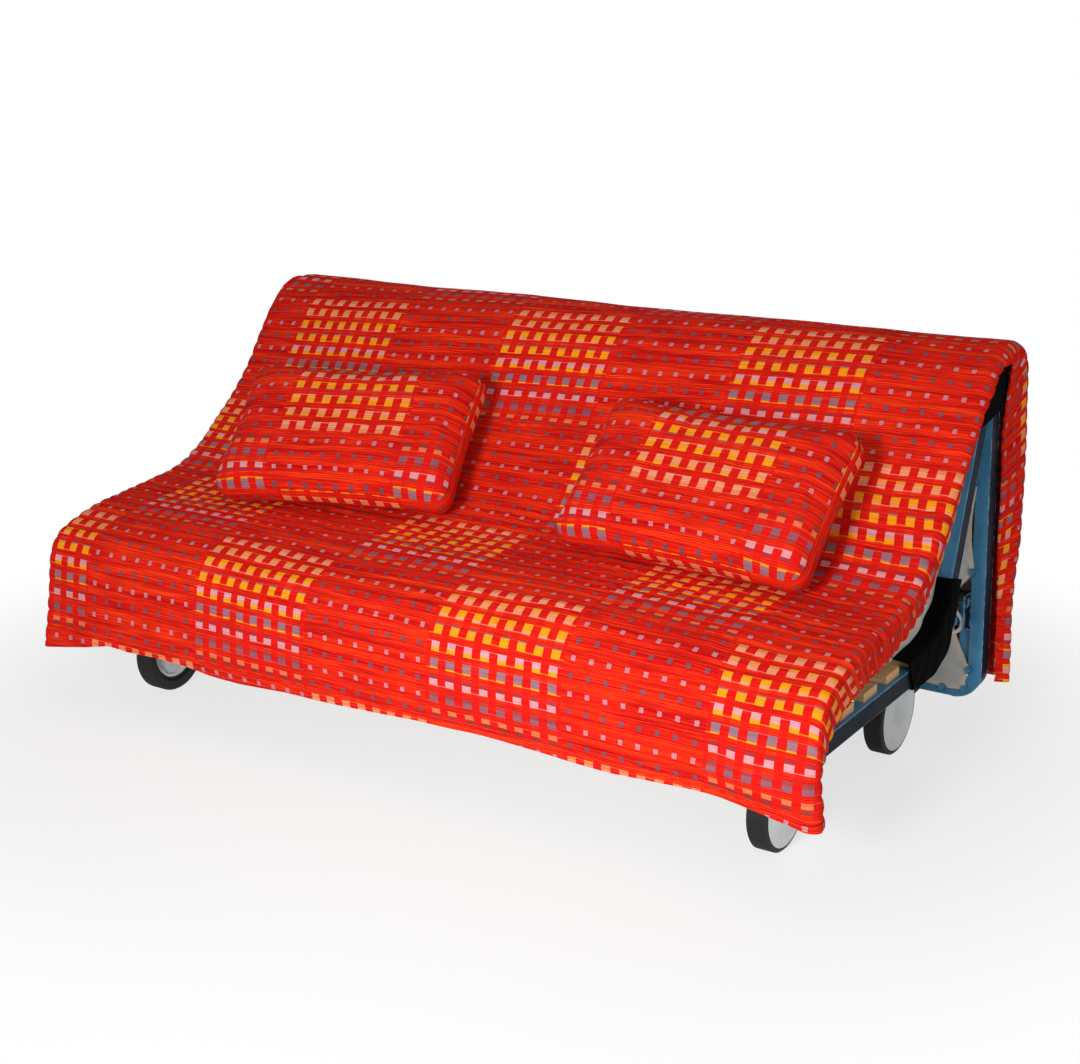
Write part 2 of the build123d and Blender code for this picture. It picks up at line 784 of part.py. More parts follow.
# Sleeves: black cloth over the outer side and the underside of the tubes at each hinge
def sleeves(plane, start, end, bottom, top, underside):
    """Pair of cloth angles, left and right, over a stretch of side tube."""
    with BuildPart() as cloth:
        for side, hand in sides:
            outer = tube_outer_x + rest_gap + sleeve_thickness / 2
            middle = (bottom + top) / 2
            with BuildSketch(along(plane, side * outer, start, middle)):
                Rectangle(sleeve_thickness, top - bottom)
            extrude(amount=end - start)
            floor = underside - sleeve_thickness / 2 - rest_gap
            reach = tube_outer_x + rest_gap + sleeve_thickness - tube_inner_x
            with BuildSketch(along(plane, side * (tube_inner_x + reach / 2), start, floor)):
                Rectangle(reach, sleeve_thickness)
            extrude(amount=end - start)
    return cloth.part


wrap = rest_gap + sleeve_thickness
keep(sleeves(seat_plane, -sleeve_reach, 0, -tube_depth - wrap, 0, -tube_depth), "seat_sleeves")
lower_start = tube_depth / 2
upper_start = back_length - sleeve_reach
upper_end = back_length - tube_depth / 2
with BuildPart() as back_sleeves:
    for start, end in ((lower_start, sleeve_reach), (upper_start, upper_end)):
        add(sleeves(back_plane, start, end, -tube_depth - wrap, 0, -tube_depth))
keep(back_sleeves.part, "back_sleeves")
keep(sleeves(rear_plane, tube_depth / 2, sleeve_reach, -wrap, tube_depth, 0), "rear_sleeves")


# Mattress and cover, drawn as side profiles. A profile is a list of (y, z, corner radius)
def corner(plane, y, z, radius):
    """Corner of the side profile at a place on a section's plane."""
    place = plane.from_local_coords(Vector(0, y, z))
    return (place.Y, place.Z, radius)


hem_y = hinge_low.Y - front_span
cover_outline = [
    (hem_y, front_hem_height, 0),
    corner(seat_plane, -seat_length - front_overhang, front_face_height, front_edge_radius),
    corner(seat_plane, -crease_lead, crease_height, crease_radius),
    corner(back_plane, back_face_reach, back_face_height, back_face_radius),
    (hinge_high.Y - crest_lead, hinge_high.Z + crest_height, crest_front_radius),
    (hinge_high.Y + rear_drop_lead, hinge_high.Z + crest_height, crest_rear_radius),
    corner(rear_plane, rear_length - rear_hem_setback, rear_hem_height, 0),
]


def inset_profile(profile, distance):
    """Profile parallel to another, on its inner side."""
    moved = []
    last = len(profile) - 1
    for i, (y, z, radius) in enumerate(profile):
        before = profile[max(i - 1, 0)] if i else profile[0]
        after = profile[min(i + 1, last)]
        first = math.atan2(z - before[1], y - before[0]) if i else None
        second = math.atan2(after[1] - z, after[0] - y) if i < last else None
        first = second if first is None else first
        second = first if second is None else second
        bend = second - first
        heading = (first + second) / 2
        shift = distance / math.cos(bend / 2)
        new_radius = radius + math.copysign(distance, bend) if radius else 0
        moved.append((y + shift * math.sin(heading), z - shift * math.cos(heading), new_radius))
    return moved


def profile_line(profile):
    FilletPolyline(*[(y, z) for y, z, radius in profile], radius=[p[2] for p in profile[1:-1]])


def profile_face(outer, inner):
    """Band between two profiles."""
    with BuildLine() as edges:
        profile_line(outer)
        profile_line(inner)
        Line(outer[0][:2], inner[0][:2])
        Line(outer[-1][:2], inner[-1][:2])
    return edges.line


def flat(vector):
    return (vector.Y, vector.Z)


reach = seat_length + back_length + rear_length


def half_plane(origin, direction, normal):
    """Large rectangle on one side of a line, as corner points."""
    return [
        flat(origin + direction * reach),
        flat(origin - direction * reach),
        flat(origin - direction * reach + normal * reach),
        flat(origin + direction * reach + normal * reach),
    ]


def quarter(origin, first, second):
    """Large square with one corner at a point, as corner points."""
    return [
        flat(origin),
        flat(origin + first * reach),
        flat(origin + first * reach + second * reach),
        flat(origin + second * reach),
    ]


seat_cut = polar(crease_seat_angle)
seat_side = polar(crease_seat_angle + 90)
back_cut = polar(crease_back_angle)
back_side = polar(crease_back_angle + 90)
half_gap = soft_gap / 2
seat_zone = half_plane(hinge_low + seat_side * half_gap, seat_cut, seat_side)
past_seat = half_plane(hinge_low - seat_side * half_gap, seat_cut, seat_side * -1)
before_back = half_plane(hinge_low + back_side * half_gap, back_cut, back_side)
past_crease = half_plane(hinge_low - back_side * half_gap, back_cut, back_side * -1)
back_zone = quarter(hinge_high - back_direction * half_gap, back_normal, back_direction * -1)
rear_zone = quarter(hinge_high + rear_direction * half_gap, rear_normal, rear_direction)
back_keep_out = quarter(hinge_high + back_direction * half_gap, back_normal, back_direction * -1)
rear_keep_out = quarter(hinge_high - rear_direction * half_gap, rear_normal, rear_direction)

# Space under the mattress: slats, frame tubes and everything between them
slat_top = seat_plane.from_local_coords(Vector(0, 0, slat_thickness + rest_gap))
back_face_start = hinge_low + back_normal * rest_gap
crossing = (slat_top.Z - back_face_start.Z) / back_direction.Z
back_foot = back_face_start + back_direction * crossing - Vector(0, eye_clearance, 0)
back_rise = back_face_start + back_direction * hinge_plate_reach / 2
hinge_top = hinge_high + polar((180 - back_lean + rear_tilt) / 2) * eye_clearance
back_top = hinge_low + back_normal * rest_gap + back_direction * (back_length + rest_gap)
rear_top = hinge_high + rear_normal * (tube_depth + rest_gap) - rear_direction * rest_gap
rear_foot = hinge_high + rear_normal * (tube_depth + rest_gap) + rear_direction * reach
frame_space = [
    (-reach, slat_top.Z),
    flat(back_foot),
    flat(back_rise),
    flat(back_top),
    flat(hinge_top),
    flat(rear_top),
    flat(rear_foot),
    (-reach, -reach),
]
mattress_floor = hinge_high + rear_direction * (rear_length - mattress_end_setback)
cover_half = tube_outer_x + cover_side_overhang
mattress_end_cut = half_plane(mattress_floor, rear_normal, rear_direction)
mattress_half = frame_width / 2 + rest_gap
mattress_line = inset_profile(cover_outline, cover_thickness + soft_gap)
cover_line = inset_profile(cover_outline, cover_thickness)
flap_line = inset_profile(cover_outline, flap_depth)


def mattress_piece(within, without):
    """Mattress between its upper profile and what carries it, kept inside some zones."""
    with BuildPart() as foam:
        with BuildSketch(Plane.YZ):
            with BuildLine():
                profile_line(mattress_line)
                Line(mattress_line[0][:2], mattress_line[-1][:2])
            make_face()
            Polygon(*frame_space, align=None, mode=Mode.SUBTRACT)
            Polygon(*mattress_end_cut, align=None, mode=Mode.SUBTRACT)
            for zone in within:
                Polygon(*zone, align=None, mode=Mode.INTERSECT)
            for zone in without:
                Polygon(*zone, align=None, mode=Mode.SUBTRACT)
        extrude(amount=mattress_half, both=True)
    return foam.part


def cover_piece(within, without):
    """Quilted cover over the mattress, with a flap down each side."""
    with BuildPart() as quilt:
        with BuildSketch(Plane.YZ):
            add(profile_face(cover_outline, cover_line))
            make_face()
            for zone in within:
                Polygon(*zone, align=None, mode=Mode.INTERSECT)
            for zone in without:
                Polygon(*zone, align=None, mode=Mode.SUBTRACT)
        extrude(amount=cover_half, both=True)
        for side, hand in sides:
            start = cover_half - flap_thickness if side > 0 else -cover_half
            with BuildSketch(Plane.YZ.offset(start)):
                add(profile_face(cover_outline, flap_line))
                make_face()
                Polygon(*frame_space, align=None, mode=Mode.SUBTRACT)
                for zone in within:
                    Polygon(*zone, align=None, mode=Mode.INTERSECT)
                for zone in without:
                    Polygon(*zone, align=None, mode=Mode.SUBTRACT)
            extrude(amount=flap_thickness)
    return quilt.part


nowhere = []
pieces = (
    ("seat", [seat_zone], nowhere),
    ("crease", [past_seat, before_back], nowhere),
    ("back", [past_crease, back_zone], nowhere),
    ("top", [past_crease], [back_keep_out, rear_keep_out]),
    ("rear", [rear_zone], nowhere),
)
for name, within, without in pieces:
    keep(mattress_piece(within, without), name + "_mattress")
    keep(cover_piece(within, without), name + "_cover")


# Cushions: a crowned box with drawn-in sides, where three outlines meet
def crowned_outline(length):
    """Side view of a cushion: flat gussets at the ends, arcs above and below."""
    half = length / 2
    edge = cushion_gusset / 2
    crown = cushion_thickness / 2
    with BuildLine() as outline:
        Line((-half, -edge), (-half, edge))
        ThreePointArc((-half, edge), (0, crown), (half, edge))
        Line((half, edge), (half, -edge))
        ThreePointArc((half, -edge), (0, -crown), (-half, -edge))
    return outline.line


def turned(vector, angle):
    """Vector turned about the vertical."""
    return vector.rotate(Axis.Z, angle)


def cushion(place, angles):
    lean, turn, roll = angles
    up = Vector(0, math.sin(math.radians(lean)), math.cos(math.radians(lean)))
    sideways = x_axis * math.cos(math.radians(roll)) + up * math.sin(math.radians(roll))
    normal = turned(polar(180 - lean), turn)
    lying = Plane(origin=hinge_low + Vector(*place), x_dir=turned(sideways, turn), z_dir=normal)
    half_x = cushion_width / 2
    half_y = cushion_height / 2
    with BuildPart() as pad:
        with BuildSketch(Plane.XY.offset(-cushion_thickness)):
            with BuildLine():
                ThreePointArc((-half_x, half_y), (0, half_y - cushion_draw_in), (half_x, half_y))
                ThreePointArc((half_x, half_y), (half_x - cushion_draw_in, 0), (half_x, -half_y))
                ThreePointArc((half_x, -half_y), (0, cushion_draw_in - half_y), (-half_x, -half_y))
                ThreePointArc((-half_x, -half_y), (cushion_draw_in - half_x, 0), (-half_x, half_y))
            corners = make_face().vertices()
            fillet(corners, cushion_corner_radius)
        extrude(amount=2 * cushion_thickness)
        with BuildSketch(Plane.YZ):
            add(crowned_outline(cushion_height))
            make_face()
        extrude(amount=cushion_width, both=True, mode=Mode.INTERSECT)
        with BuildSketch(Plane.XZ):
            add(crowned_outline(cushion_width))
            make_face()
        extrude(amount=cushion_height, both=True, mode=Mode.INTERSECT)
    return pad.part.moved(lying.location)


keep(cushion(cushion_left_place, cushion_left_angles), "cushion_left")
keep(cushion(cushion_right_place, cushion_right_angles), "cushion_right")
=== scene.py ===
"""Folding sofa bed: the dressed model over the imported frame, in metres and in the frame's own axes.

X runs across the sofa, Y to the back and Z up. Every piece is built where the frame has it.
"""

import json
import logging
import math
from dataclasses import dataclass, field
from enum import Enum

import bmesh
import bpy
import numpy as np
from mathutils import Matrix, Vector

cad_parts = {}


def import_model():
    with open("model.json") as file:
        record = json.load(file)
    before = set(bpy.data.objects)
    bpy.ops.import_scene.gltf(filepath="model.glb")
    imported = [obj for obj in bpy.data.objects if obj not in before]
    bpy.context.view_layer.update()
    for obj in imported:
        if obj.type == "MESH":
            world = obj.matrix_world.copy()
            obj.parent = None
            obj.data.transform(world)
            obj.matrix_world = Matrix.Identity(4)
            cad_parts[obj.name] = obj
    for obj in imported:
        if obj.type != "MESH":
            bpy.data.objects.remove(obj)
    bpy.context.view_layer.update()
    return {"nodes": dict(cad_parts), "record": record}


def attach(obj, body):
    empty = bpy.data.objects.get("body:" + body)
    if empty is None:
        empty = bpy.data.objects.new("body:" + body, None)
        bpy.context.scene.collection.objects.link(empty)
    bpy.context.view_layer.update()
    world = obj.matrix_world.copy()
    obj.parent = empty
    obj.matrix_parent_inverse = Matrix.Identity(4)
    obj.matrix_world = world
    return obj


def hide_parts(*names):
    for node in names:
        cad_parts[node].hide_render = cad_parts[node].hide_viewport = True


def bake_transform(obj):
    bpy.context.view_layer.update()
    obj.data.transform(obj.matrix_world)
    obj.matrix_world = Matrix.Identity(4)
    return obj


LOG = logging.getLogger("sofa_bed")
MM = 0.001
CM = 0.01
MATH = "ShaderNodeMath"
MIX = "ShaderNodeMix"
RANGE = "ShaderNodeMapRange"
NOISE = "ShaderNodeTexNoise"
RAMP = "ShaderNodeValToRGB"
BUMP = "ShaderNodeBump"


def linear(hex_colour: str) -> tuple:
    """Turn an sRGB hex colour into linear red, green, blue and alpha.

    Args:
        hex_colour: Six hex digits, with or without a leading mark.
    Returns:
        Four numbers from 0 to 1.
    """
    digits = hex_colour.lstrip("#")
    values = [int(digits[i:i + 2], 16) / 255 for i in (0, 2, 4)]
    return tuple(v / 12.92 if v <= 0.04045 else ((v + 0.055) / 1.055) ** 2.4 for v in values) + (1.0,)


def feed(tree: bpy.types.NodeTree, node: bpy.types.Node, inputs: tuple | list | dict) -> None:
    """Set or link a node's inputs.

    Args:
        tree: The node's tree.
        node: The node.
        inputs: Values by position or by name. A node stands for its first output.
    """
    pairs = inputs.items() if isinstance(inputs, dict) else enumerate(inputs)
    for key, value in pairs:
        if isinstance(value, bpy.types.Node):
            value = value.outputs[0]
        if isinstance(value, bpy.types.NodeSocket):
            tree.links.new(value, node.inputs[key])
        else:
            node.inputs[key].default_value = value


def put(tree: bpy.types.NodeTree, kind: str, inputs: tuple | list | dict = (),
        **settings: object) -> bpy.types.Node:
    """Add one node with its settings, values and links.

    Args:
        tree: The tree that the node goes into.
        kind: Blender's name for the node.
        inputs: Values by position or by name.
        settings: Properties set before the inputs.
    Returns:
        The new node.
    """
    made = tree.nodes.new(kind)
    for name, value in settings.items():
        setattr(made, name, value)
    feed(tree, made, inputs)
    return made


def work_out(tree: bpy.types.NodeTree, known: dict, rows: tuple) -> None:
    """Put a node for each row of a plan. A later row can use it by its name.

    Args:
        tree: The tree that the nodes go into.
        known: Nodes, sockets and numbers by name. Each row adds its own.
        rows: A name, what is done, and values, which are numbers, hex colours or names of what is
            known. RANGE stretches a value, MIX lays its third value over its second by its first,
            and anything else is an operation of a Math node.
    """
    for name, work, *values in rows:
        ready = [linear(v) if str(v).startswith("#") else known.get(v, v) for v in values]
        if work == MIX:
            made = put(tree, MIX, dict(zip(("Factor", 6, 7), ready)), data_type="RGBA").outputs[2]
        elif work == RANGE:
            made = put(tree, RANGE, ready)
        else:
            made = put(tree, MATH, ready, operation=work)
        known[name] = made


def paint_ramp(made: bpy.types.Node, stops: list | tuple, step: bool = False) -> bpy.types.Node:
    """Set the stops of a colour ramp.

    Args:
        made: The ramp's node.
        stops: Pairs of position and hex colour, from 0 to 1.
        step: Hold each colour to the next stop, in place of fading.
    Returns:
        The same node.
    """
    ramp = made.color_ramp
    ramp.interpolation = "CONSTANT" if step else "LINEAR"
    while len(ramp.elements) > 1:
        ramp.elements.remove(ramp.elements[0])
    ramp.elements[0].position = stops[0][0]
    ramp.elements[0].color = linear(stops[0][1])
    for place, colour in stops[1:]:
        ramp.elements.new(place).color = linear(colour)
    return made


@dataclass(frozen=True)
class Finish:
    """A surface finish, made once as a material."""

    name: str
    roughness: float = 0.5
    metallic: float = 0.0

    def material(self) -> bpy.types.Material:
        """Find this finish's material, or make it on first use.

        Returns:
            The material.
        """
        found = bpy.data.materials.get(self.name)
        if found:
            return found
        made = bpy.data.materials.new(self.name)
        made.use_nodes = True
        tree = made.node_tree
        shader = tree.nodes["Principled BSDF"]
        shader.inputs["Roughness"].default_value = self.roughness
        shader.inputs["Metallic"].default_value = self.metallic
        self.dress(tree, shader)
        return made

    def dress(self, tree: bpy.types.NodeTree, shader: bpy.types.Node) -> None:
        """Add the finish's own nodes. Each kind of finish has its own."""


@dataclass(frozen=True)
class WornPaint(Finish):
    """Blue paint brushed on steel tube: satin, with painted shade that darkens the outer sides, chipped
    along its edges, where the chip colour is also a painted highlight.
    """

    face: str = "#4C8BB2"
    # side is painted shade: the outer sides are coloured dark navy, as they look in shadow
    side: str = "#0C1824"
    # chip is worn paint on the ridges, and also a painted highlight along them
    chip: str = "#B9CBD6"

    def dress(self, tree: bpy.types.NodeTree, shader: bpy.types.Node) -> None:
        """Painted shade by which way a face looks, then scratches, and worn ridges that carry a painted
        highlight.
        """
        place = put(tree, "ShaderNodeTexCoord")
        spot = place.outputs["Object"]
        normal = put(tree, "ShaderNodeSeparateXYZ", (place.outputs["Normal"],))
        cloud = put(tree, NOISE, {"Vector": spot, "Scale": 9.0, "Detail": 6.0, "Roughness": 0.65})
        tones = paint_ramp(put(tree, RAMP, (cloud,)),
                           [(0.3, "#3E7CA3"), (0.55, self.face), (0.75, "#5B99BE")])
        # Scratches are hairlines about 0.5 mm wide that run along the tube, so the noise is drawn out
        drawn = put(tree, "ShaderNodeMapping", {"Vector": spot, "Rotation": (0.5, 0.3, 0.4),
                                                "Scale": (90, 14, 14)})
        hair = put(tree, NOISE, {"Vector": drawn, "Scale": 3.0, "Detail": 8.0, "Roughness": 0.7})
        # The paint is gone along the ridges, where a rounded normal leaves the true one, and the pale chip
        # colour there also paints the highlight along the tube's edges
        soft = put(tree, "ShaderNodeBevel", (0.003,), samples=4)
        true = put(tree, "ShaderNodeNewGeometry")
        turn = put(tree, "ShaderNodeVectorMath", (soft, true.outputs["Normal"]), operation="DOT_PRODUCT")
        patch = put(tree, NOISE, {"Vector": spot, "Scale": 60.0, "Detail": 4.0})
        known = {"x": normal.outputs["X"], "cloud": cloud, "tones": tones, "hair": hair,
                 "turn": turn.outputs["Value"], "patch": patch}
        # The outer faces, found by the normal's X, take the painted shade colour, with less specular so
        # that it stays dark
        work_out(tree, known, (
            ("across", "ABSOLUTE", "x"), ("outer", RANGE, "across", 0.80, 0.95),
            ("scratch", RANGE, "hair", 0.70, 0.74), ("ridge", RANGE, "turn", 0.985, 0.90),
            ("broken", RANGE, "patch", 0.46, 0.60), ("edge", "MULTIPLY", "ridge", "broken"),
            ("worn", "MAXIMUM", "edge", "scratch"), ("painted", MIX, "outer", "tones", self.side),
            ("colour", MIX, "worn", "painted", self.chip),
            ("rough", RANGE, "cloud", 0.3, 0.8, 0.32, 0.5),
            ("gloss", RANGE, "outer", 0.0, 1.0, 0.25, 0.02)))
        bump = put(tree, BUMP, {"Strength": 0.25, "Distance": 0.0006, "Height": patch})
        feed(tree, shader, {"Base Color": known["colour"], "Roughness": known["rough"],
                            "Specular IOR Level": known["gloss"], "Normal": bump})


@dataclass(frozen=True)
class Grained(Finish):
    """Material whose one grain gives both its tones and its relief: steel, pine or napped cloth."""

    stops: tuple = ()
    drawn: tuple = (1, 1, 1)
    scale: float = 1.0
    detail: float = 4.0
    grit: float = 0.5
    wander: float = 0.0
    relief: tuple = (0.2, 0.2 * MM)
    gloss: float = 0.5

    def dress(self, tree: bpy.types.NodeTree, shader: bpy.types.Node) -> None:
        """Draw the grain out along the piece, and use it for tones and relief."""
        place = put(tree, "ShaderNodeTexCoord")
        along = put(tree, "ShaderNodeMapping", {"Vector": place.outputs["Object"], "Scale": self.drawn})
        grain = put(tree, NOISE, {"Vector": along, "Scale": self.scale, "Detail": self.detail,
                                  "Roughness": self.grit, "Distortion": self.wander})
        tones = paint_ramp(put(tree, RAMP, (grain,)), self.stops)
        strength, distance = self.relief
        bump = put(tree, BUMP, {"Strength": strength, "Distance": distance, "Height": grain})
        feed(tree, shader, {"Base Color": tones, "Normal": bump, "Specular IOR Level": self.gloss})


@dataclass(frozen=True)
class Moulded(Finish):
    """Moulded rubber or plastic: one colour with scuffs and a faint orange peel."""

    base: str = "#D9DBDA"
    scuff: str = "#B9BCBC"

    def dress(self, tree: bpy.types.NodeTree, shader: bpy.types.Node) -> None:
        """Broad scuffs over fine grain."""
        spot = put(tree, "ShaderNodeTexCoord").outputs["Object"]
        cloud = put(tree, NOISE, {"Vector": spot, "Scale": 14.0, "Detail": 8.0, "Roughness": 0.7})
        tones = paint_ramp(put(tree, RAMP, (cloud,)), [(0.35, self.scuff), (0.55, self.base)])
        rough = put(tree, RANGE, (cloud, 0.3, 0.7, self.roughness + 0.12, self.roughness))
        fine = put(tree, NOISE, {"Vector": spot, "Scale": 700.0, "Detail": 2.0})
        bump = put(tree, BUMP, {"Strength": 0.15, "Distance": 0.0003, "Height": fine})
        feed(tree, shader, {"Base Color": tones, "Roughness": rough, "Normal": bump})


@dataclass(frozen=True)
class PlainWeave(Finish):
    """Canvas or ticking: warp and weft crossing every thread, with broad creases and soiling."""

    base: str = "#DCDCD8"
    shade: str = "#C4C3BD"
    hem: str = "#E6D5C3"
    thread: float = 1.1 * MM
    stripe: float = 0.0

    def dress(self, tree: bpy.types.NodeTree, shader: bpy.types.Node) -> None:
        """Threads from the cloth's own flat coordinates, soiling from the object's."""
        place = put(tree, "ShaderNodeTexCoord")
        axes = put(tree, "ShaderNodeSeparateXYZ", (put(tree, "ShaderNodeUVMap", uv_map="cloth"),))
        cloud = put(tree, NOISE, {"Vector": place.outputs["Object"], "Scale": 7.0, "Detail": 7.0,
                                  "Roughness": 0.6})
        tones = paint_ramp(put(tree, RAMP, (cloud,)), [(0.3, self.shade), (0.6, self.base)])
        edge = put(tree, "ShaderNodeAttribute", attribute_name="hem")
        beat = math.tau / (2 * self.thread)
        known = {"u": axes.outputs["X"], "v": axes.outputs["Y"], "tones": tones,
                 "edge": edge.outputs["Fac"]}
        work_out(tree, known, (
            ("turn_u", "MULTIPLY", "u", beat), ("wave_u", "SINE", "turn_u"),
            ("turn_v", "MULTIPLY", "v", beat), ("wave_v", "SINE", "turn_v"),
            ("over", "MULTIPLY", "wave_u", "wave_v")))
        if self.stripe:
            work_out(tree, known, (
                ("run", "ADD", "u", "v"), ("beat", "MULTIPLY", "run", math.tau / self.stripe),
                ("wave", "SINE", "beat"), ("line", RANGE, "wave", 0.2, 0.6),
                ("tones", MIX, "line", "tones", self.hem)))
        work_out(tree, known, (("banded", MIX, "edge", "tones", self.hem),))
        bump = put(tree, BUMP, {"Strength": 0.4, "Distance": 0.0004, "Height": known["over"]})
        feed(tree, shader, {"Base Color": known["banded"], "Normal": bump,
                            "Specular IOR Level": 0.2})


# Woven marks from the lowest row up: upper half, lower half, and where they meet in the cell
MARK_ROWS = (
    ("#E8794F", "#97362F", 0.50),
    ("#A8423F", "#86606F", 0.55),
    ("#A03640", "#DF9CA2", 0.60),
    ("#8F7480", "#F9A01F", 0.30),
    ("#E2A0A8", "#FBA51F", 0.45),
    ("#93697A", "#FFA31C", 0.72),
    ("#FFA31C", "#F0A070", 0.38),
    ("#F7A233", "#F19A72", 0.60),
    ("#EE8F5E", "#F19F7E", 0.50),
)
# Where a point of the check lies: in its cell, in its block and in its row of nine
CHECK_PLACES = (
    ("moved_u", "SUBTRACT", "u", "start_u"), ("across", "DIVIDE", "moved_u", "cell_u"),
    ("moved_v", "SUBTRACT", "v", "start_v"), ("along", "DIVIDE", "moved_v", "cell_v"),
    ("column", "FLOOR", "across"), ("row", "FLOOR", "along"),
    ("part_x", "FRACT", "across"), ("part_y", "FRACT", "along"),
    ("from_x", "SUBTRACT", "part_x", 0.5), ("off_x", "ABSOLUTE", "from_x"),
    ("from_y", "SUBTRACT", "part_y", 0.5), ("off_y", "ABSOLUTE", "from_y"),
    ("eights", "DIVIDE", "column", 8.0), ("block_x", "FLOOR", "eights"),
    ("nines", "DIVIDE", "row", 9.0), ("block_y", "FLOOR", "nines"),
    ("both", "ADD", "block_x", "block_y"), ("plain", "FLOORED_MODULO", "both", 2.0),
    ("large", "SUBTRACT", 1.0, "plain"), ("in_nine", "FLOORED_MODULO", "row", 9.0),
    ("place", "MULTIPLY_ADD", "in_nine", 1 / 9, 0.5 / 9),
)
CHECK_FIGURES = (
    # Large marks, and the thin thread that chains them, low across one gap and high across the next
    ("top_half", "GREATER_THAN", "part_y", "meet"),
    ("wide", "LESS_THAN", "off_x", 0.250), ("tall", "LESS_THAN", "off_y", 0.305),
    ("inside_mark", "MULTIPLY", "wide", "tall"), ("mark", "MULTIPLY", "inside_mark", "large"),
    ("worn", "MULTIPLY", "mark", 0.88),
    ("from_gap", "SUBTRACT", "across", 0.5), ("gap", "FLOOR", "from_gap"),
    ("gap_row", "ADD", "gap", "row"), ("turn", "FLOORED_MODULO", "gap_row", 2.0),
    ("float_y", "MULTIPLY_ADD", "turn", 0.555, 0.225),
    ("near", "COMPARE", "part_y", "float_y", 0.024), ("thread", "MULTIPLY", "near", "large"),
    ("thin", RANGE, "turn", 0.0, 1.0, 0.6, 0.35), ("faint", "MULTIPLY", "thread", "thin"),
    ("beside_mark", "GREATER_THAN", "off_x", 0.28), ("warp", "MULTIPLY", "beside_mark", "large"),
    ("band", "MULTIPLY", "warp", 0.75),
    # Small squares of the other blocks
    ("odd_row", "FLOORED_MODULO", "row", 2.0),
    ("slim", "LESS_THAN", "off_x", 0.125), ("low", "LESS_THAN", "off_y", 0.15),
    ("inside_square", "MULTIPLY", "slim", "low"), ("square", "MULTIPLY", "inside_square", "plain"),
    # Basket ground: bundles of flat threads two cells long, parted by upright ones. A cell has 8
    # flat bundles or 10 upright ones, 4 mm each, drawn coarser than the threads so that they show
    ("beat_v", "MULTIPLY", "along", math.tau * 8), ("wave_v", "SINE", "beat_v"),
    ("line_v", RANGE, "wave_v", -0.2, 0.5),
    ("beat_u", "MULTIPLY", "across", math.tau * 10), ("wave_u", "SINE", "beat_u"),
    ("line_u", RANGE, "wave_u", -0.2, 0.5),
    ("row_edge", "GREATER_THAN", "off_y", 0.27),
    ("half_up", "ADD", "along", 0.5), ("near_row", "FLOOR", "half_up"),
    ("bricks", "ADD", "across", "near_row"), ("brick", "FLOORED_MODULO", "bricks", 2.0),
    ("joint", "LESS_THAN", "brick", 0.42), ("parted", "MULTIPLY", "joint", "plain"),
    ("lying", "SUBTRACT", 1.0, "parted"),
    ("flat_edge", "MULTIPLY", "line_v", "row_edge"), ("flat", "MULTIPLY", "flat_edge", "lying"),
    ("column_edge", "GREATER_THAN", "off_x", 0.16), ("inside", "SUBTRACT", 1.0, "row_edge"),
    ("between", "MULTIPLY", "column_edge", "inside"), ("beside", "MULTIPLY", "between", "plain"),
    ("crossing", "MULTIPLY", "parted", "row_edge"), ("soft_beside", "MULTIPLY", "beside", 0.45),
    ("standing", "MAXIMUM", "soft_beside", "crossing"),
    ("upright", "MULTIPLY", "standing", "line_u"), ("either", "MAXIMUM", "flat", "upright"),
    ("strength", RANGE, "slow", 0.38, 0.66, 0.15, 0.90), ("bundle", "MULTIPLY", "either", "strength"),
    # Colours from the ground up
    ("marks", MIX, "top_half", "lower", "upper"), ("links", MIX, "turn", "lower", "upper"),
    ("squares", MIX, "odd_row", "#76505C", "#C58088"), ("ground", MIX, 0.5, "reds", "yarns"),
    ("woven", MIX, "bundle", "ground", "#FC4A18"), ("banded", MIX, "band", "woven", "#E01A13"),
    ("threaded", MIX, "faint", "banded", "links"), ("squared", MIX, "square", "threaded", "squares"),
    ("marked", MIX, "worn", "squared", "marks"),
    # Yarn irregularity over everything, so that no mark is one flat colour, and the relief
    ("veil", RANGE, "yarn", 0.3, 0.7, 0.80, 1.10), ("raised", "MAXIMUM", "mark", "square"),
    ("figure", "MULTIPLY_ADD", "raised", 0.5, "yarn"),
    ("relief", "MULTIPLY_ADD", "bundle", 0.4, "figure"),
)


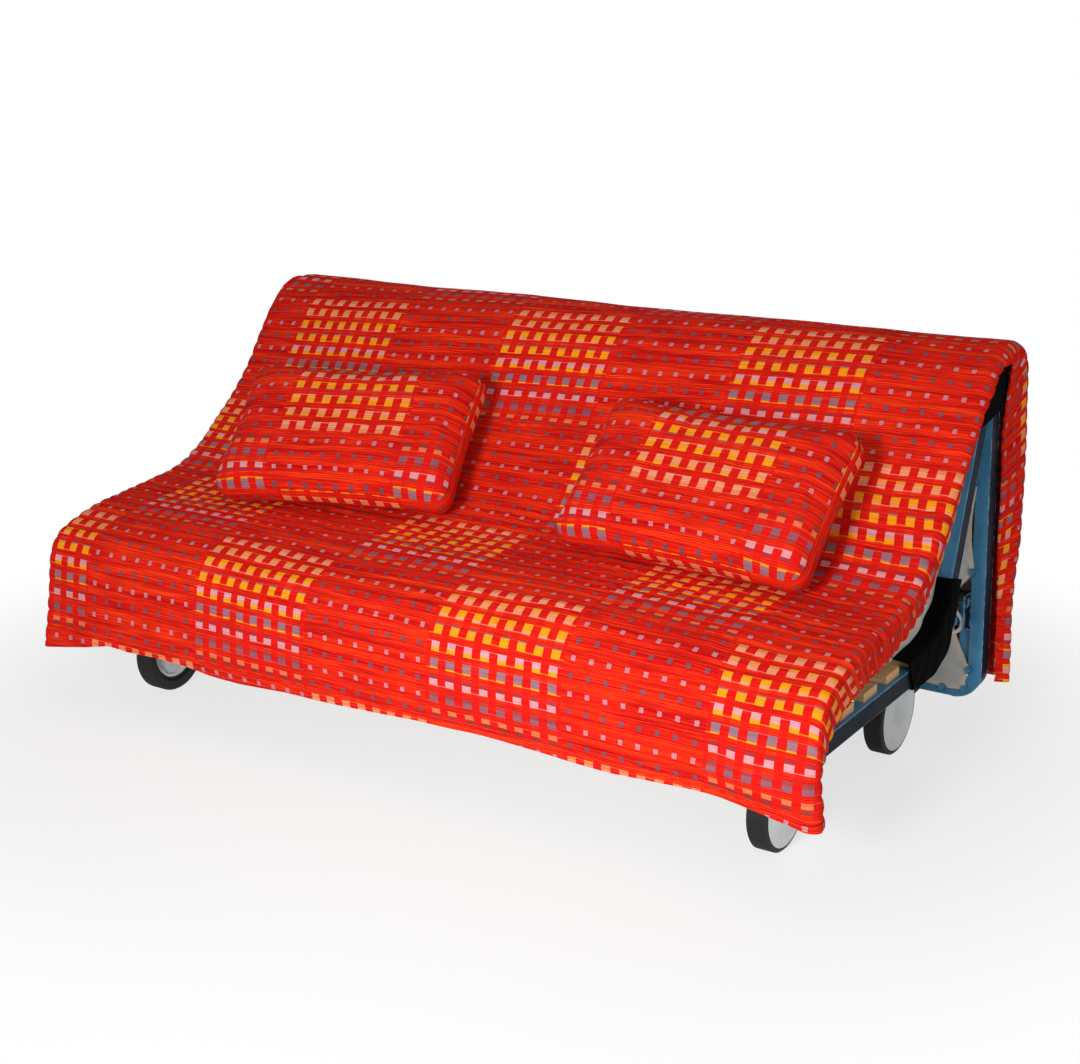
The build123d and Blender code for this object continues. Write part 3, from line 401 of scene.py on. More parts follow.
@dataclass(frozen=True)
class CheckCloth(Finish):
    """Quilted furnishing cotton with a woven check.

    Blocks of 8 by 9 cells alternate, one kind with large two-tone marks, the other with small
    squares, on a red ground with bundles of orange threads. Real cell 38 to 39 mm, threads 1 mm
    drawn as bundles of 4 mm so that they show.
    """

    cell_across: float = 38.9 * MM
    cell_along: float = 35.5 * MM
    start_across: float = 102 * MM
    start_along: float = 0.0
    mark_rows: tuple = MARK_ROWS

    def tones(self, tree: bpy.types.NodeTree, known: dict) -> None:
        """Add the colours of yarn and marks, and the height at which a mark's two tones meet.

        Args:
            tree: The material's tree.
            known: What is worked out so far. It gains "upper", "lower", "reds", "yarns" and "meet".
        """
        count = len(self.mark_rows)
        for half, name in enumerate(("upper", "lower")):
            stops = [(i / count, row[half]) for i, row in enumerate(self.mark_rows)]
            known[name] = paint_ramp(put(tree, RAMP, (known["place"],)), stops, True)
        for name, source, stops in (
                ("reds", "slow", [(0.30, "#98060F"), (0.42, "#C40E14"), (0.54, "#DC1512"),
                                  (0.70, "#F03410")]),
                ("yarns", "yarn", [(0.35, "#B4090F"), (0.52, "#DC1611"), (0.66, "#F64012")])):
            known[name] = paint_ramp(put(tree, RAMP, (known[source],)), stops)
        meet = put(tree, "ShaderNodeFloatCurve", (1.0, known["place"]))
        curve = meet.mapping.curves[0]
        for i, row in enumerate(self.mark_rows):
            spot = ((i + 0.5) / count, row[2])
            if i < 2:
                curve.points[i].location = spot
            else:
                curve.points.new(*spot)
        for point in curve.points:
            point.handle_type = "VECTOR"
        meet.mapping.update()
        known["meet"] = meet

    def dress(self, tree: bpy.types.NodeTree, shader: bpy.types.Node) -> None:
        """Build the check from the cloth's flat coordinates in metres."""
        flat = put(tree, "ShaderNodeUVMap", uv_map="cloth")
        # Threads wander by up to 2 mm, so that no edge of a mark is ruled
        wander = put(tree, NOISE, {"Vector": flat, "Scale": 22.0, "Detail": 2.0})
        shift = put(tree, "ShaderNodeVectorMath", (wander.outputs["Color"], (0.5, 0.5, 0.5)),
                    operation="SUBTRACT")
        small = put(tree, "ShaderNodeVectorMath", {0: shift, "Scale": 0.0045}, operation="SCALE")
        loose = put(tree, "ShaderNodeVectorMath", (flat, small), operation="ADD")
        axes = put(tree, "ShaderNodeSeparateXYZ", (loose,))
        known = {"u": axes.outputs["X"], "v": axes.outputs["Y"], "start_u": self.start_across,
                 "start_v": self.start_along, "cell_u": self.cell_across, "cell_v": self.cell_along}
        for name, scale in (("yarn", (9.0, 260.0, 1.0)), ("slow", (2.2, 60.0, 1.0))):
            drawn = put(tree, "ShaderNodeVectorMath", (loose, scale), operation="MULTIPLY")
            known[name] = put(tree, NOISE, {"Vector": drawn, "Scale": 1.0, "Detail": 3.0})
        work_out(tree, known, CHECK_PLACES)
        self.tones(tree, known)
        work_out(tree, known, CHECK_FIGURES)
        shaded = put(tree, "ShaderNodeVectorMath", {0: known["marked"], "Scale": known["veil"]},
                     operation="SCALE")
        bump = put(tree, BUMP, {"Strength": 0.5, "Distance": 0.0009, "Height": known["relief"]})
        feed(tree, shader, {"Base Color": shaded, "Normal": bump, "Specular IOR Level": 0.06})


COVER_CLOTH = CheckCloth("quilted_check_cotton", roughness=0.9)
CUSHION_CLOTH = CheckCloth("cushion_check_cotton", roughness=0.9, cell_along=38 * MM,
                           start_across=-0.147, start_along=-0.298)
FINISHES = {
    "blue_paint": WornPaint("brushed_blue_paint", roughness=0.4),
    # Drawn bar and turned pins: streaks about 0.4 mm apart, drawn as coarse as 2 mm so that they show
    "dark_steel": Grained("black_waxed_steel", roughness=0.45, metallic=0.8, drawn=(20, 500, 500),
                          stops=((0.3, "#2A2B2D"), (0.7, "#4A4D50"))),
    "bare_steel": Grained("turned_steel", roughness=0.3, metallic=1.0, drawn=(20, 500, 500),
                          stops=((0.3, "#5E6164"), (0.7, "#8A8D90"))),
    # Planed pine: pale straw with darker late-wood lines every 3 to 5 mm, along the slat
    "slat_wood": Grained("planed_pine", roughness=0.6, drawn=(1.2, 26, 26), scale=8.0, detail=5.0,
                         wander=0.8, relief=(0.3, 0.4 * MM),
                         stops=((0.3, "#B98B53"), (0.5, "#D0A46A"), (0.68, "#DDB983"))),
    "black_rubber": Moulded("tyre_rubber", roughness=0.75, base="#101011", scuff="#1D1D1E"),
    "white_plastic": Moulded("hub_polypropylene", roughness=0.3, base="#D3D6D6", scuff="#C2C6C7"),
    "hook_plastic": Moulded("hook_nylon", roughness=0.4, base="#E8E8E6", scuff="#D3D3CF"),
    "blue_plastic": Moulded("button_polythene", roughness=0.35, base="#3F86B0", scuff="#35769D"),
    "black_plastic": Moulded("foot_rubber", roughness=0.6, base="#18181A", scuff="#242426"),
    "red_cover": COVER_CLOTH,
    "ticking": PlainWeave("striped_ticking", roughness=0.9, base="#DCDBD4", shade="#C9C7BF",
                          hem="#BDBAB0", stripe=9 * MM),
    "canvas": PlainWeave("cotton_canvas", roughness=0.9),
    # Napped cloth: matt near-black with a coarse pile of about 2 mm
    "black_cloth": Grained("napped_black_cloth", roughness=0.95, scale=420.0, grit=0.8,
                           relief=(0.8, 1.5 * MM), gloss=0.03,
                           stops=((0.35, "#020203"), (0.7, "#0B0B0D"))),
}


class Hand(Enum):
    """The sofa's two ends, each as the sign of its X."""

    LEFT = -1
    RIGHT = 1

    @property
    def word(self) -> str:
        """Return the end's word, as the names of pieces have it."""
        return self.name.lower()


@dataclass(frozen=True)
class Section:
    """One folding section of the frame, as a plane seen from the side."""

    hinge: tuple
    along: tuple
    up: tuple

    def at(self, x: np.ndarray | float, y: np.ndarray | float, z: np.ndarray | float) -> np.ndarray:
        """Turn across, along and up, in metres, into places in the frame.

        Args:
            x: Across the sofa.
            y: Along the section from its hinge.
            z: Up through the mattress when the bed is flat.
        Returns:
            The places, one in each last row.
        """
        return np.stack(np.broadcast_arrays(
            x, self.hinge[0] + self.along[0] * y + self.up[0] * z,
            self.hinge[1] + self.along[1] * y + self.up[1] * z), -1)


TILT = math.radians(3.6)
REAR = Section((0.34337, 0.79425), (math.sin(TILT), -math.cos(TILT)), (math.cos(TILT), math.sin(TILT)))


def unit(vectors: np.ndarray) -> np.ndarray:
    """Return the directions of vectors, each of length 1."""
    return vectors / np.linalg.norm(vectors, axis=-1)[..., None]


def run_along(rows: np.ndarray) -> np.ndarray:
    """Return the length of a line from its first place to each."""
    return np.concatenate(([0.0], np.cumsum(np.linalg.norm(np.diff(rows, axis=0), axis=1))))


def ease(share: np.ndarray) -> np.ndarray:
    """Return a share of 0 to 1 with a soft start and a soft end."""
    return share * share * (3 - 2 * share)


def read_off(spot: np.ndarray, table: tuple) -> np.ndarray:
    """Return what a table of pairs in centimetres gives at places in metres."""
    return np.interp(spot / CM, [pair[0] for pair in table], [pair[1] for pair in table])


def smooth_through(points: tuple, count: int) -> np.ndarray:
    """Run a smooth line through points of any dimension.

    Args:
        points: The points, in centimetres.
        count: How many samples each span gets.
    Returns:
        One row in metres for each sample, and the last point.
    """
    rows = np.array(points, float) * CM
    ends = np.vstack((2 * rows[0] - rows[1], rows, 2 * rows[-1] - rows[-2]))
    t = np.linspace(0, 1, count, endpoint=False)[:, None]
    spans = []
    for a, b, c, d in zip(ends[:-3], ends[1:-2], ends[2:-1], ends[3:]):
        spans.append(0.5 * (2 * b + (c - a) * t + (2 * a - 5 * b + 4 * c - d) * t ** 2
                            + (3 * b - a - 3 * c + d) * t ** 3))
    return np.vstack(spans + [rows[-1:]])


def evenly(rows: np.ndarray, step: float, width: int) -> tuple:
    """Take samples at an even spacing along a line.

    Args:
        rows: Samples of the line, whose first columns give its place.
        step: Spacing in metres.
        width: How many of the columns give the place.
    Returns:
        The even samples, and the length from the start to each.
    """
    length = run_along(rows[:, :width])
    count = max(2, int(round(length[-1] / step)) + 1)
    wanted = np.linspace(0, length[-1], count)
    even = np.stack([np.interp(wanted, length, column) for column in rows.T], 1)
    return even, wanted


def ripple(x: np.ndarray, y: np.ndarray, seed: int, scale_x: float, scale_y: float) -> np.ndarray:
    """Make soft irregular waves, the same each time.

    Args:
        x: First coordinate in metres.
        y: Second coordinate in metres.
        seed: Picks the waves.
        scale_x: Waves in each metre along x.
        scale_y: Waves in each metre along y.
    Returns:
        Heights of about -1 to 1.
    """
    pick = np.random.RandomState(seed)
    total = np.zeros(np.broadcast(x, y).shape)
    for _ in range(14):
        a, b = pick.normal(0, 1, 2)
        phase = pick.uniform(0, math.tau)
        total = total + np.sin(math.tau * (a * scale_x * x + b * scale_y * y) + phase)
    return total / 14 ** 0.5 / 1.4


def show(name: str, data: bpy.types.ID) -> bpy.types.Object:
    """Put a mesh, lamp or camera into the scene.

    Args:
        name: The object's name.
        data: What it holds.
    Returns:
        The object, at the origin.
    """
    made = bpy.data.objects.new(name, data)
    bpy.context.scene.collection.objects.link(made)
    return made


def build_mesh(name: str, points: np.ndarray, faces: list, flat: np.ndarray | None = None,
               hem: np.ndarray | None = None) -> bpy.types.Object:
    """Make an object from points and faces.

    Args:
        name: The piece's name.
        points: Places in the frame, one row each.
        faces: Corner numbers of each face.
        flat: Flat cloth coordinates in metres for each point.
        hem: How far each point belongs to a hem, from 0 to 1.
    Returns:
        The object, smooth shaded, with outward faces.
    """
    mesh = bpy.data.meshes.new(name)
    mesh.from_pydata([tuple(p) for p in points.tolist()], [], faces)
    mesh.update()
    work = bmesh.new()
    work.from_mesh(mesh)
    bmesh.ops.recalc_face_normals(work, faces=work.faces)
    work.to_mesh(mesh)
    work.free()
    mesh.shade_smooth()
    if flat is not None:
        layer = mesh.uv_layers.new(name="cloth")
        corners = np.empty(len(mesh.loops), np.int32)
        mesh.loops.foreach_get("vertex_index", corners)
        layer.data.foreach_set("uv", flat[corners].astype(np.float32).ravel())
    if hem is not None:
        mesh.attributes.new("hem", "FLOAT", "POINT").data.foreach_set("value", hem.astype(np.float32))
    return show(name, mesh)


def sharpen(piece: bpy.types.Object, degrees: float) -> None:
    """Keep edges crisp where faces meet at more than an angle.

    Args:
        piece: The piece.
        degrees: The angle.
    """
    piece.data.set_sharp_from_angle(angle=math.radians(degrees))


def shell(outer: np.ndarray, inner: np.ndarray) -> tuple:
    """Close two grids of points into one shell.

    Args:
        outer: Rows by columns of places, on the outside.
        inner: The same on the inside.
    Returns:
        Points and faces.
    """
    rows, columns = outer.shape[:2]
    points = np.vstack((outer.reshape(-1, 3), inner.reshape(-1, 3)))
    step = rows * columns
    number = np.arange(step).reshape(rows, columns)
    a, b = number[:-1, :-1].ravel(), number[:-1, 1:].ravel()
    c, d = number[1:, 1:].ravel(), number[1:, :-1].ravel()
    faces = np.stack((a, b, c, d), 1).tolist() + (np.stack((d, c, b, a), 1) + step).tolist()
    ring = np.concatenate((number[0, :-1], number[:-1, -1], number[-1, :0:-1], number[:0:-1, 0]))
    after = np.roll(ring, -1)
    faces += np.stack((after, ring, ring + step, after + step), 1).tolist()
    return points, faces


def wear(piece: bpy.types.Object, finish: Finish) -> bpy.types.Object:
    """Give a piece its material.

    Args:
        piece: The piece.
        finish: Its finish.
    Returns:
        The piece.
    """
    piece.data.materials.clear()
    piece.data.materials.append(finish.material())
    return piece


def keep_result(piece: bpy.types.Object, modifier: bpy.types.Modifier) -> None:
    """Make what a modifier gives the piece's own mesh.

    Args:
        piece: The piece.
        modifier: The modifier, which goes.
    """
    bpy.context.view_layer.update()
    graph = bpy.context.evaluated_depsgraph_get()
    result = bpy.data.meshes.new_from_object(piece.evaluated_get(graph))
    piece.modifiers.remove(modifier)
    old = piece.data
    piece.data = result
    bpy.data.meshes.remove(old)


def grow(piece: bpy.types.Object, tree: bpy.types.NodeTree, values: dict) -> None:
    """Run a tree of geometry nodes on a piece and keep the result as its mesh.

    Args:
        piece: The piece whose mesh is changed.
        tree: The tree.
        values: Values of the tree's named inputs.
    """
    modifier = piece.modifiers.new("grow", "NODES")
    modifier.node_group = tree
    sockets = {s.name: s.identifier for s in tree.interface.items_tree if s.in_out == "INPUT"}
    for name, value in values.items():
        modifier[sockets[name]] = value
    keep_result(piece, modifier)
    piece.data.name = piece.name


def new_tree(name: str, sizes: dict) -> bpy.types.NodeTree:
    """Start a tree of geometry nodes with named number inputs.

    Args:
        name: The tree's name.
        sizes: Names of the inputs and their usual values.
    Returns:
        The tree, with its input and output nodes.
    """
    tree = bpy.data.node_groups.new(name, "GeometryNodeTree")
    tree.interface.new_socket("Shape", in_out="INPUT", socket_type="NodeSocketGeometry")
    for label, value in sizes.items():
        kind = "NodeSocketInt" if isinstance(value, int) else "NodeSocketFloat"
        made = tree.interface.new_socket(label, in_out="INPUT", socket_type=kind)
        made.default_value = value
    tree.interface.new_socket("Shape", in_out="OUTPUT", socket_type="NodeSocketGeometry")
    put(tree, "NodeGroupInput")
    return tree


def close_tree(tree: bpy.types.NodeTree, shape: bpy.types.Node, material: bpy.types.Material) -> None:
    """End a tree: real geometry, one material, and the output.

    Args:
        tree: The tree.
        shape: The node that gives the shape.
        material: The material.
    """
    real = put(tree, "GeometryNodeRealizeInstances", (shape,))
    dressed = put(tree, "GeometryNodeSetMaterial", {"Geometry": real, "Material": material})
    put(tree, "NodeGroupOutput", (dressed,))


# Stations of the cover in centimetres, front hem to rear hem: the face's y and z, then the free
# edge's y, z and x, then how far out the shoulder reaches at the left and at the right
COVER_STATIONS = (
    (-52.3, 14.5, -47.4, 14.0, 94.8, 97.2, 95.4), (-51.5, 22.9, -48.2, 22.5, 94.8, 97.2, 95.2),
    (-50.5, 31.2, -46.3, 27.9, 94.8, 97.2, 95.0), (-49.5, 35.8, -44.8, 30.0, 94.7, 97.0, 95.0),
    (-47.5, 39.0, -41.7, 32.3, 94.6, 96.8, 95.0), (-44.8, 40.9, -38.3, 33.9, 94.5, 96.4, 94.8),
    (-39.3, 42.8, -32.4, 35.5, 94.4, 95.8, 94.8), (-31.5, 44.4, -26.5, 36.4, 94.4, 95.6, 94.8),
    (-17.5, 45.3, -15.4, 37.7, 94.4, 95.8, 94.8), (-10.0, 46.6, -6.6, 40.3, 94.4, 95.6, 94.8),
    (-4.5, 48.8, 0.8, 42.9, 94.2, 95.3, 94.8), (-0.5, 51.6, 4.0, 46.5, 94.1, 95.0, 94.6),
    (3.9, 55.2, 8.5, 50.8, 94.0, 94.6, 94.6), (9.6, 59.9, 13.8, 56.5, 93.8, 94.4, 94.4),
    (14.6, 64.8, 18.4, 62.4, 93.6, 94.2, 94.2), (19.0, 70.0, 21.4, 68.3, 93.5, 94.2, 94.2),
    (24.3, 77.1, 26.3, 75.5, 93.5, 94.4, 94.4), (27.9, 81.1, 29.7, 79.2, 93.5, 94.6, 94.8),
    (32.9, 84.6, 34.0, 82.6, 93.8, 94.8, 94.0), (37.7, 86.4, 38.0, 83.9, 94.2, 95.0, 94.2),
    (42.2, 87.2, 40.5, 83.0, 94.2, 95.2, 94.4), (46.2, 86.4, 40.2, 80.5, 93.9, 95.2, 94.8),
    (48.9, 83.2, 39.6, 77.0, 93.7, 95.2, 95.0), (50.0, 77.5, 39.6, 72.0, 93.6, 95.2, 95.0),
    (50.8, 69.5, 40.0, 65.0, 93.6, 95.2, 95.0), (51.6, 58.0, 40.6, 55.0, 93.6, 95.2, 95.2),
    (50.6, 45.0, 41.4, 43.5, 93.6, 95.2, 95.5), (48.4, 32.0, 42.5, 31.5, 93.7, 95.2, 95.9),
    (46.8, 21.5, 43.4, 21.5, 93.8, 95.2, 96.3), (47.6, 12.5, 44.2, 12.5, 93.9, 95.2, 96.4),
)
# Height of the front hem in centimetres at places across the sofa, with its step near the left end
HEM_HEIGHTS = (
    (-97, 13.2), (-90, 14.1), (-85, 15.0), (-80, 16.2), (-77, 16.8), (-72, 16.3), (-64, 16.6),
    (-55, 16.1), (-49, 15.3), (-40, 15.0), (-28, 15.8), (-21, 15.9), (-10, 16.1), (5, 17.0),
    (20, 17.2), (35, 16.8), (43, 16.4), (52, 16.2), (60, 16.8), (68, 17.2), (73, 17.4),
    (80, 17.3), (90, 16.2), (97, 15.3),
)
# How far the cloth stands out from the stations, in millimetres: rows are lengths from the hem in
# centimetres, columns are places across the sofa in centimetres
SAG_LENGTHS = (0, 3.5, 6, 9, 13, 16, 20, 24, 27, 30, 34, 38, 45, 60, 80, 95, 105, 115, 125, 132, 145)
SAG = {
    -97: (14, 10, 6, 3, 0, 0, 0, 0, 0, 0, 0, 0, 0, 0, 0, 0, 0, 0, -6, -12, -10),
    -88: (-4, -2, 0, 0, 0, 0, 0, 0, 0, 0, 0, 0, 0, 0, 0, 0, 0, 0, -6, -12, -10),
    -50: (-24, -12, -6, -5, -4, -3, -3, -2, 1, 5, 7, 6, 5, 3, 3, 5, 8, 8, -2, -10, -8),
    -23: (-26, -14, -6, 1, 3, 5, 5, 3, 2, 0, -1, 3, 6, 4, 4, 7, 14, 15, 4, -6, -5),
    8: (-28, -18, -9, -4, -1, 0, 1, 1, 2, 5, 8, 8, 8, 5, 5, 8, 18, 19, 8, -5, -4),
    39: (-34, -24, -16, -13, -8, -7, -5, -1, 1, 10, 17, 12, 10, 6, 5, 10, 20, 20, 12, 0, 0),
    67: (-28, -18, -6, -7, -5, -8, -9, -8, -4, 4, 8, 8, 8, 5, 4, 10, 18, 20, 14, 4, 2),
    74: (-24, -16, -2, -6, -4, -9, -12, -15, -8, 0, 2, 5, 6, 4, 2, 7, 14, 16, 10, 4, 2),
    82: (-12, -4, 8, 10, 5, 0, -6, -12, -8, -5, -2, 0, 2, 0, 0, 2, 9, 10, 6, 4, 3),
    90: (-4, 0, 4, 4, 2, 0, -2, -4, -3, -2, 0, 0, 0, 0, 0, 0, 2, 3, 5, 6, 5),
    97: (8, 6, 4, 2, 0, 0, 0, 0, 0, 0, 0, 0, 0, 0, 0, 0, 0, 0, 5, 8, 6),
}
# Where the woven rows lie: length from the hem in centimetres, and the row's number there
ROW_PLACES = (
    (-5, -2.49), (5.6, 0.5), (34.0, 8.5), (37.3, 9.5), (55.4, 15.5), (64.5, 18.5), (74.2, 21.5),
    (78.0, 22.5), (84.5, 24.5), (91.5, 26.5), (94.7, 27.5), (104.5, 30.5), (108.3, 31.5),
    (122.3, 35.5), (222.3, 63.67),
)


@dataclass
class Cover:
    """The quilted cover: two closed quilts that meet in a channel halfway up the back."""

    thickness: float = 12 * MM
    edge_thickness: float = 5 * MM
    row_pitch: float = 35.5 * MM
    puff: float = 3.6 * MM
    shoulder: float = 24 * MM
    row_step: float = 4.5 * MM
    middle_columns: int = 150
    shoulder_columns: int = 8
    flap_columns: int = 8
    parting: float = 0.8975
    hem_height: float = 0.145
    looser_from: float = 0.70
    looser_over: float = 0.22
    half_top: float = 0.92
    flap: float = 0.10
    hang_sway: float = 3.0 * MM
    pleat_depth: float = 2.6 * MM
    crumple_depth: float = 1.2 * MM
    slack_depth: float = 1.8 * MM
    drawn_in: float = 4 * MM
    stitch_pitch: float = 6.0 * MM
    stitched: list = field(default_factory=list)

    def lines(self) -> tuple:
        """Sample the stations evenly.

        Returns:
            Face points, edge points, the edge's and shoulders' reach, and lengths, in metres.
        """
        rows = smooth_through(COVER_STATIONS, 24)
        even, length = evenly(rows, self.row_step, 2)
        return even[:, :2], even[:, 2:4], even[:, 4:], length

    def cross_section(self, face: np.ndarray, edge: np.ndarray, reach: np.ndarray) -> tuple:
        """Place one row of columns, from the left free edge to the right one.

        Args:
            face: The row's point on the face, as y and z.
            edge: The row's point on the free edge, as y and z.
            reach: How far out the free edge, the left and the right shoulder lie.
        Returns:
            Places of the columns, and the cloth's own coordinate across.
        """
        drop = edge - face
        depth = float(np.linalg.norm(drop))
        radius = min(self.shoulder, 0.8 * depth)
        angle = np.linspace(0, math.pi / 2, self.shoulder_columns)
        share = radius * (1 - np.cos(angle)) / depth
        share = np.concatenate((share, np.linspace(radius / depth, 1, self.flap_columns + 1)[1:]))
        sides = []
        for side, corner in ((-1, reach[1]), (1, reach[2])):
            bend = corner - self.shoulder * (1 - np.sin(angle))
            x = np.concatenate((bend, np.linspace(corner, reach[0], self.flap_columns + 1)[1:]))
            sides.append(np.stack((side * x, face[0] + drop[0] * share,
                                   face[1] + drop[1] * share), 1))
        inner = np.linspace(self.shoulder - reach[1], reach[2] - self.shoulder, self.middle_columns)
        middle = np.stack((inner, np.full_like(inner, face[0]), np.full_like(inner, face[1])), 1)
        place = np.vstack((sides[0][::-1][:-1], middle, sides[1][1:]))
        run = run_along(place)
        first = len(sides[0]) - 1
        return place, run - np.interp(0.0, inner, run[first:first + len(inner)])

    def weave(self, x: np.ndarray, u: np.ndarray, v: np.ndarray) -> tuple:
        """Find the woven column and row at each point of the cloth.

        The cloth lies a little looser across the back, so its columns draw together there.

        Args:
            x: Place across the sofa.
            u: Run across the cloth from its middle.
            v: Length from the front hem.
        Returns:
            Flat coordinates in metres, and the row's number.
        """
        high = ease(np.clip((v - self.looser_from) / self.looser_over, 0, 1))
        across = u * (1 + 0.029 * high) + 0.0118 * high
        along = v - 0.05 * (x - 0.08) * high
        row = read_off(along, ROW_PLACES)
        return np.stack((across, row * self.row_pitch), 2), row

    def sag(self, x: np.ndarray, v: np.ndarray) -> np.ndarray:
        """Look up how far the cloth stands out from its stations.

        Args:
            x: Place across the sofa.
            v: Length from the front hem.
        Returns:
            Distances in metres.
        """
        places = sorted(SAG)
        curves = [np.interp(v / CM, SAG_LENGTHS, SAG[place]) for place in places]
        total = curves[0] * 0.0
        spot = np.clip(x / CM, places[0], places[-1] - 1e-6)
        for low, high, a, b in zip(places[:-1], places[1:], curves[:-1], curves[1:]):
            t = (spot - low) / (high - low)
            inside = (t >= 0) & (t < 1)
            total = np.where(inside, a + (b - a) * ease(t), total)
        return total * MM

    def quilt(self, name: str, first: int, last: int, ends: tuple) -> bpy.types.Object:
        """Build one of the two quilts.

        Args:
            name: The piece's name.
            first: First row.
            last: Row after the last.
            ends: Whether the first and last rows are free edges.
        Returns:
            The closed quilt.
        """
        face, edge, reach, length = self.lines()
        outer, flat = [], []
        for i in range(first, last):
            place, across = self.cross_section(face[i], edge[i], reach[i])
            outer.append(place)
            flat.append(np.stack((across, np.full_like(across, length[i])), 1))
        grid = np.array(outer)
        plain = np.array(flat)
        rows, columns = grid.shape[:2]
        u, v = plain[..., 0], plain[..., 1]
        x = grid[..., 0]
        # Outward direction of each point, from the grid itself
        along = np.gradient(grid, axis=0)
        across = np.gradient(grid, axis=1)
        out = unit(np.cross(across, along))
        total = length[-1]
        lift = (read_off(x, HEM_HEIGHTS) * CM - self.hem_height) * np.clip(1 - v / 0.20, 0, 1)
        cloth, row = self.weave(x, u, v + lift)
        # The hem hangs in shallow folds and rises and dips along its length
        front = np.clip(1 - v / 0.22, 0, 1) ** 1.5
        rear = np.clip(1 - (total - v) / 0.5, 0, 1) ** 1.3
        sway = self.hang_sway * front * ripple(u, v * 0.2, 3, 3.2, 1.0)
        sway = sway - self.hang_sway * rear * (1 + ripple(u, v * 0.2, 5, 2.0, 1.0)) * 0.5
        # Quilting: each channel puffs between its stitched lines
        beat = np.abs(np.sin(math.pi * row))
        swell = self.puff * (beat ** 0.55 - 0.75) * (1 + 0.35 * ripple(u, v, 7, 6.0, 3.0))
        # The seat is crumpled in small slanting pleats where people sit
        seat = np.clip((v - 0.36) / 0.08, 0, 1) * np.clip((0.82 - v) / 0.12, 0, 1)
        bend_u, bend_v = u + 0.012 * ripple(u, v, 17, 4, 4), v + 0.012 * ripple(u, v, 18, 4, 4)
        pleat = np.abs(np.sin(math.pi * (bend_u + bend_v) / 0.052)
                       * np.sin(math.pi * (bend_u - bend_v) / 0.060)) ** 0.5 - 0.6
        crumple = seat * (self.pleat_depth * pleat * (0.7 + 0.5 * ripple(u, v, 19, 2, 2))
                          + self.crumple_depth * ripple(u, v, 11, 13.0, 17.0))
        slack = self.slack_depth * ripple(u, v, 13, 2.5, 4.0)
        height = sway + swell + crumple + slack - 1.0 * MM + self.sag(x, v)
        grid = grid + out * height[..., None]
        grid[..., 2] += lift
        # Each stitched line draws the free side edge in a little
        from_side = np.minimum(np.arange(columns), np.arange(columns)[::-1])
        pull = np.clip(1 - from_side / 5.0, 0, 1)[None, :] * (1 - beat) * self.drawn_in
        inward = unit(np.gradient(grid, axis=1))
        grid = grid - inward * (pull * np.sign(x))[..., None]
        # Free edges thin out to the bound rim
        from_ends = np.full(rows, 9.0)
        if ends[0]:
            from_ends = np.minimum(from_ends, np.arange(rows))
        if ends[1]:
            from_ends = np.minimum(from_ends, np.arange(rows)[::-1])
        near = np.minimum(np.clip(from_side / 3.0, 0, 1)[None, :],
                          np.clip(from_ends / 3.0, 0, 1)[:, None])
        thick = self.edge_thickness + (self.thickness - self.edge_thickness) * np.sqrt(near)
        thick = thick + np.where(near >= 1, swell * 0.5, 0)
        inner = grid - out * thick[..., None]
        points, faces = shell(grid, inner)
        cloth = cloth.reshape(-1, 2)
        made = build_mesh(name, points, faces, np.vstack((cloth, cloth)))
        sharpen(made, 62)
        if ends[0]:
            self.stitched.append(("front_hem_stitches", "seat", grid, (2, 5)))
        if ends[1]:
            self.stitched.append(("rear_hem_stitches", "rear", grid, (-3, -6)))
        return made

    def stitch_rows(self) -> None:
        """Sew two rows of stitches along each hem, as small threads on the cloth."""
        tree = new_tree("hem_stitches", {"Spacing": self.stitch_pitch, "Length": 4.2 * MM,
                                         "Gauge": 0.55 * MM})
        entry = tree.nodes["Group Input"]
        line = put(tree, "GeometryNodeMeshToCurve", (entry.outputs["Shape"],))
        points = put(tree, "GeometryNodeCurveToPoints", {0: line, 2: entry.outputs["Spacing"]},
                     mode="LENGTH")
        thread = put(tree, "GeometryNodeMeshCylinder", {
            "Vertices": 5, "Radius": entry.outputs["Gauge"], "Depth": entry.outputs["Length"]})
        turned = put(tree, "FunctionNodeAlignRotationToVector", {
            "Vector": points.outputs["Tangent"]}, axis="Z")
        placed = put(tree, "GeometryNodeInstanceOnPoints", {
            "Points": points, "Instance": thread, "Rotation": turned})
        material = Moulded("polyester_thread", roughness=0.6, base="#E0452A", scuff="#C33A22").material()
        close_tree(tree, placed, material)
        for name, body, grid, rows in self.stitched:
            lines, edges = [], []
            for row in rows:
                start = len(lines)
                path = grid[row, 2:-2]
                tangent = np.gradient(grid[:, 2:-2], axis=0)[row]
                out = unit(np.cross(np.gradient(path, axis=0), tangent))
                lines += (path + out * 0.2 * MM).tolist()
                edges += [(i, i + 1) for i in range(start, len(lines) - 1)]
            mesh = bpy.data.meshes.new(name)
            mesh.from_pydata(lines, edges, [])
            made = show(name, mesh)
            grow(made, tree, {"Spacing": self.stitch_pitch})
            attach(made, body)
            LOG.info("%s: %d faces", name, len(made.data.polygons))

    def build(self) -> None:
        """Build, dress and hang both quilts."""
        length = self.lines()[3]
        middle = int(np.searchsorted(length, self.parting))
        front = wear(self.quilt("cover_front", 0, middle + 1, (True, False)), COVER_CLOTH)
        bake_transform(front)
        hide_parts("seat_cover", "crease_cover", "back_cover")
        back = wear(self.quilt("cover_rear", middle, len(length), (False, True)), COVER_CLOTH)
        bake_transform(back)
        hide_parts("top_cover", "rear_cover")
        self.stitch_rows()


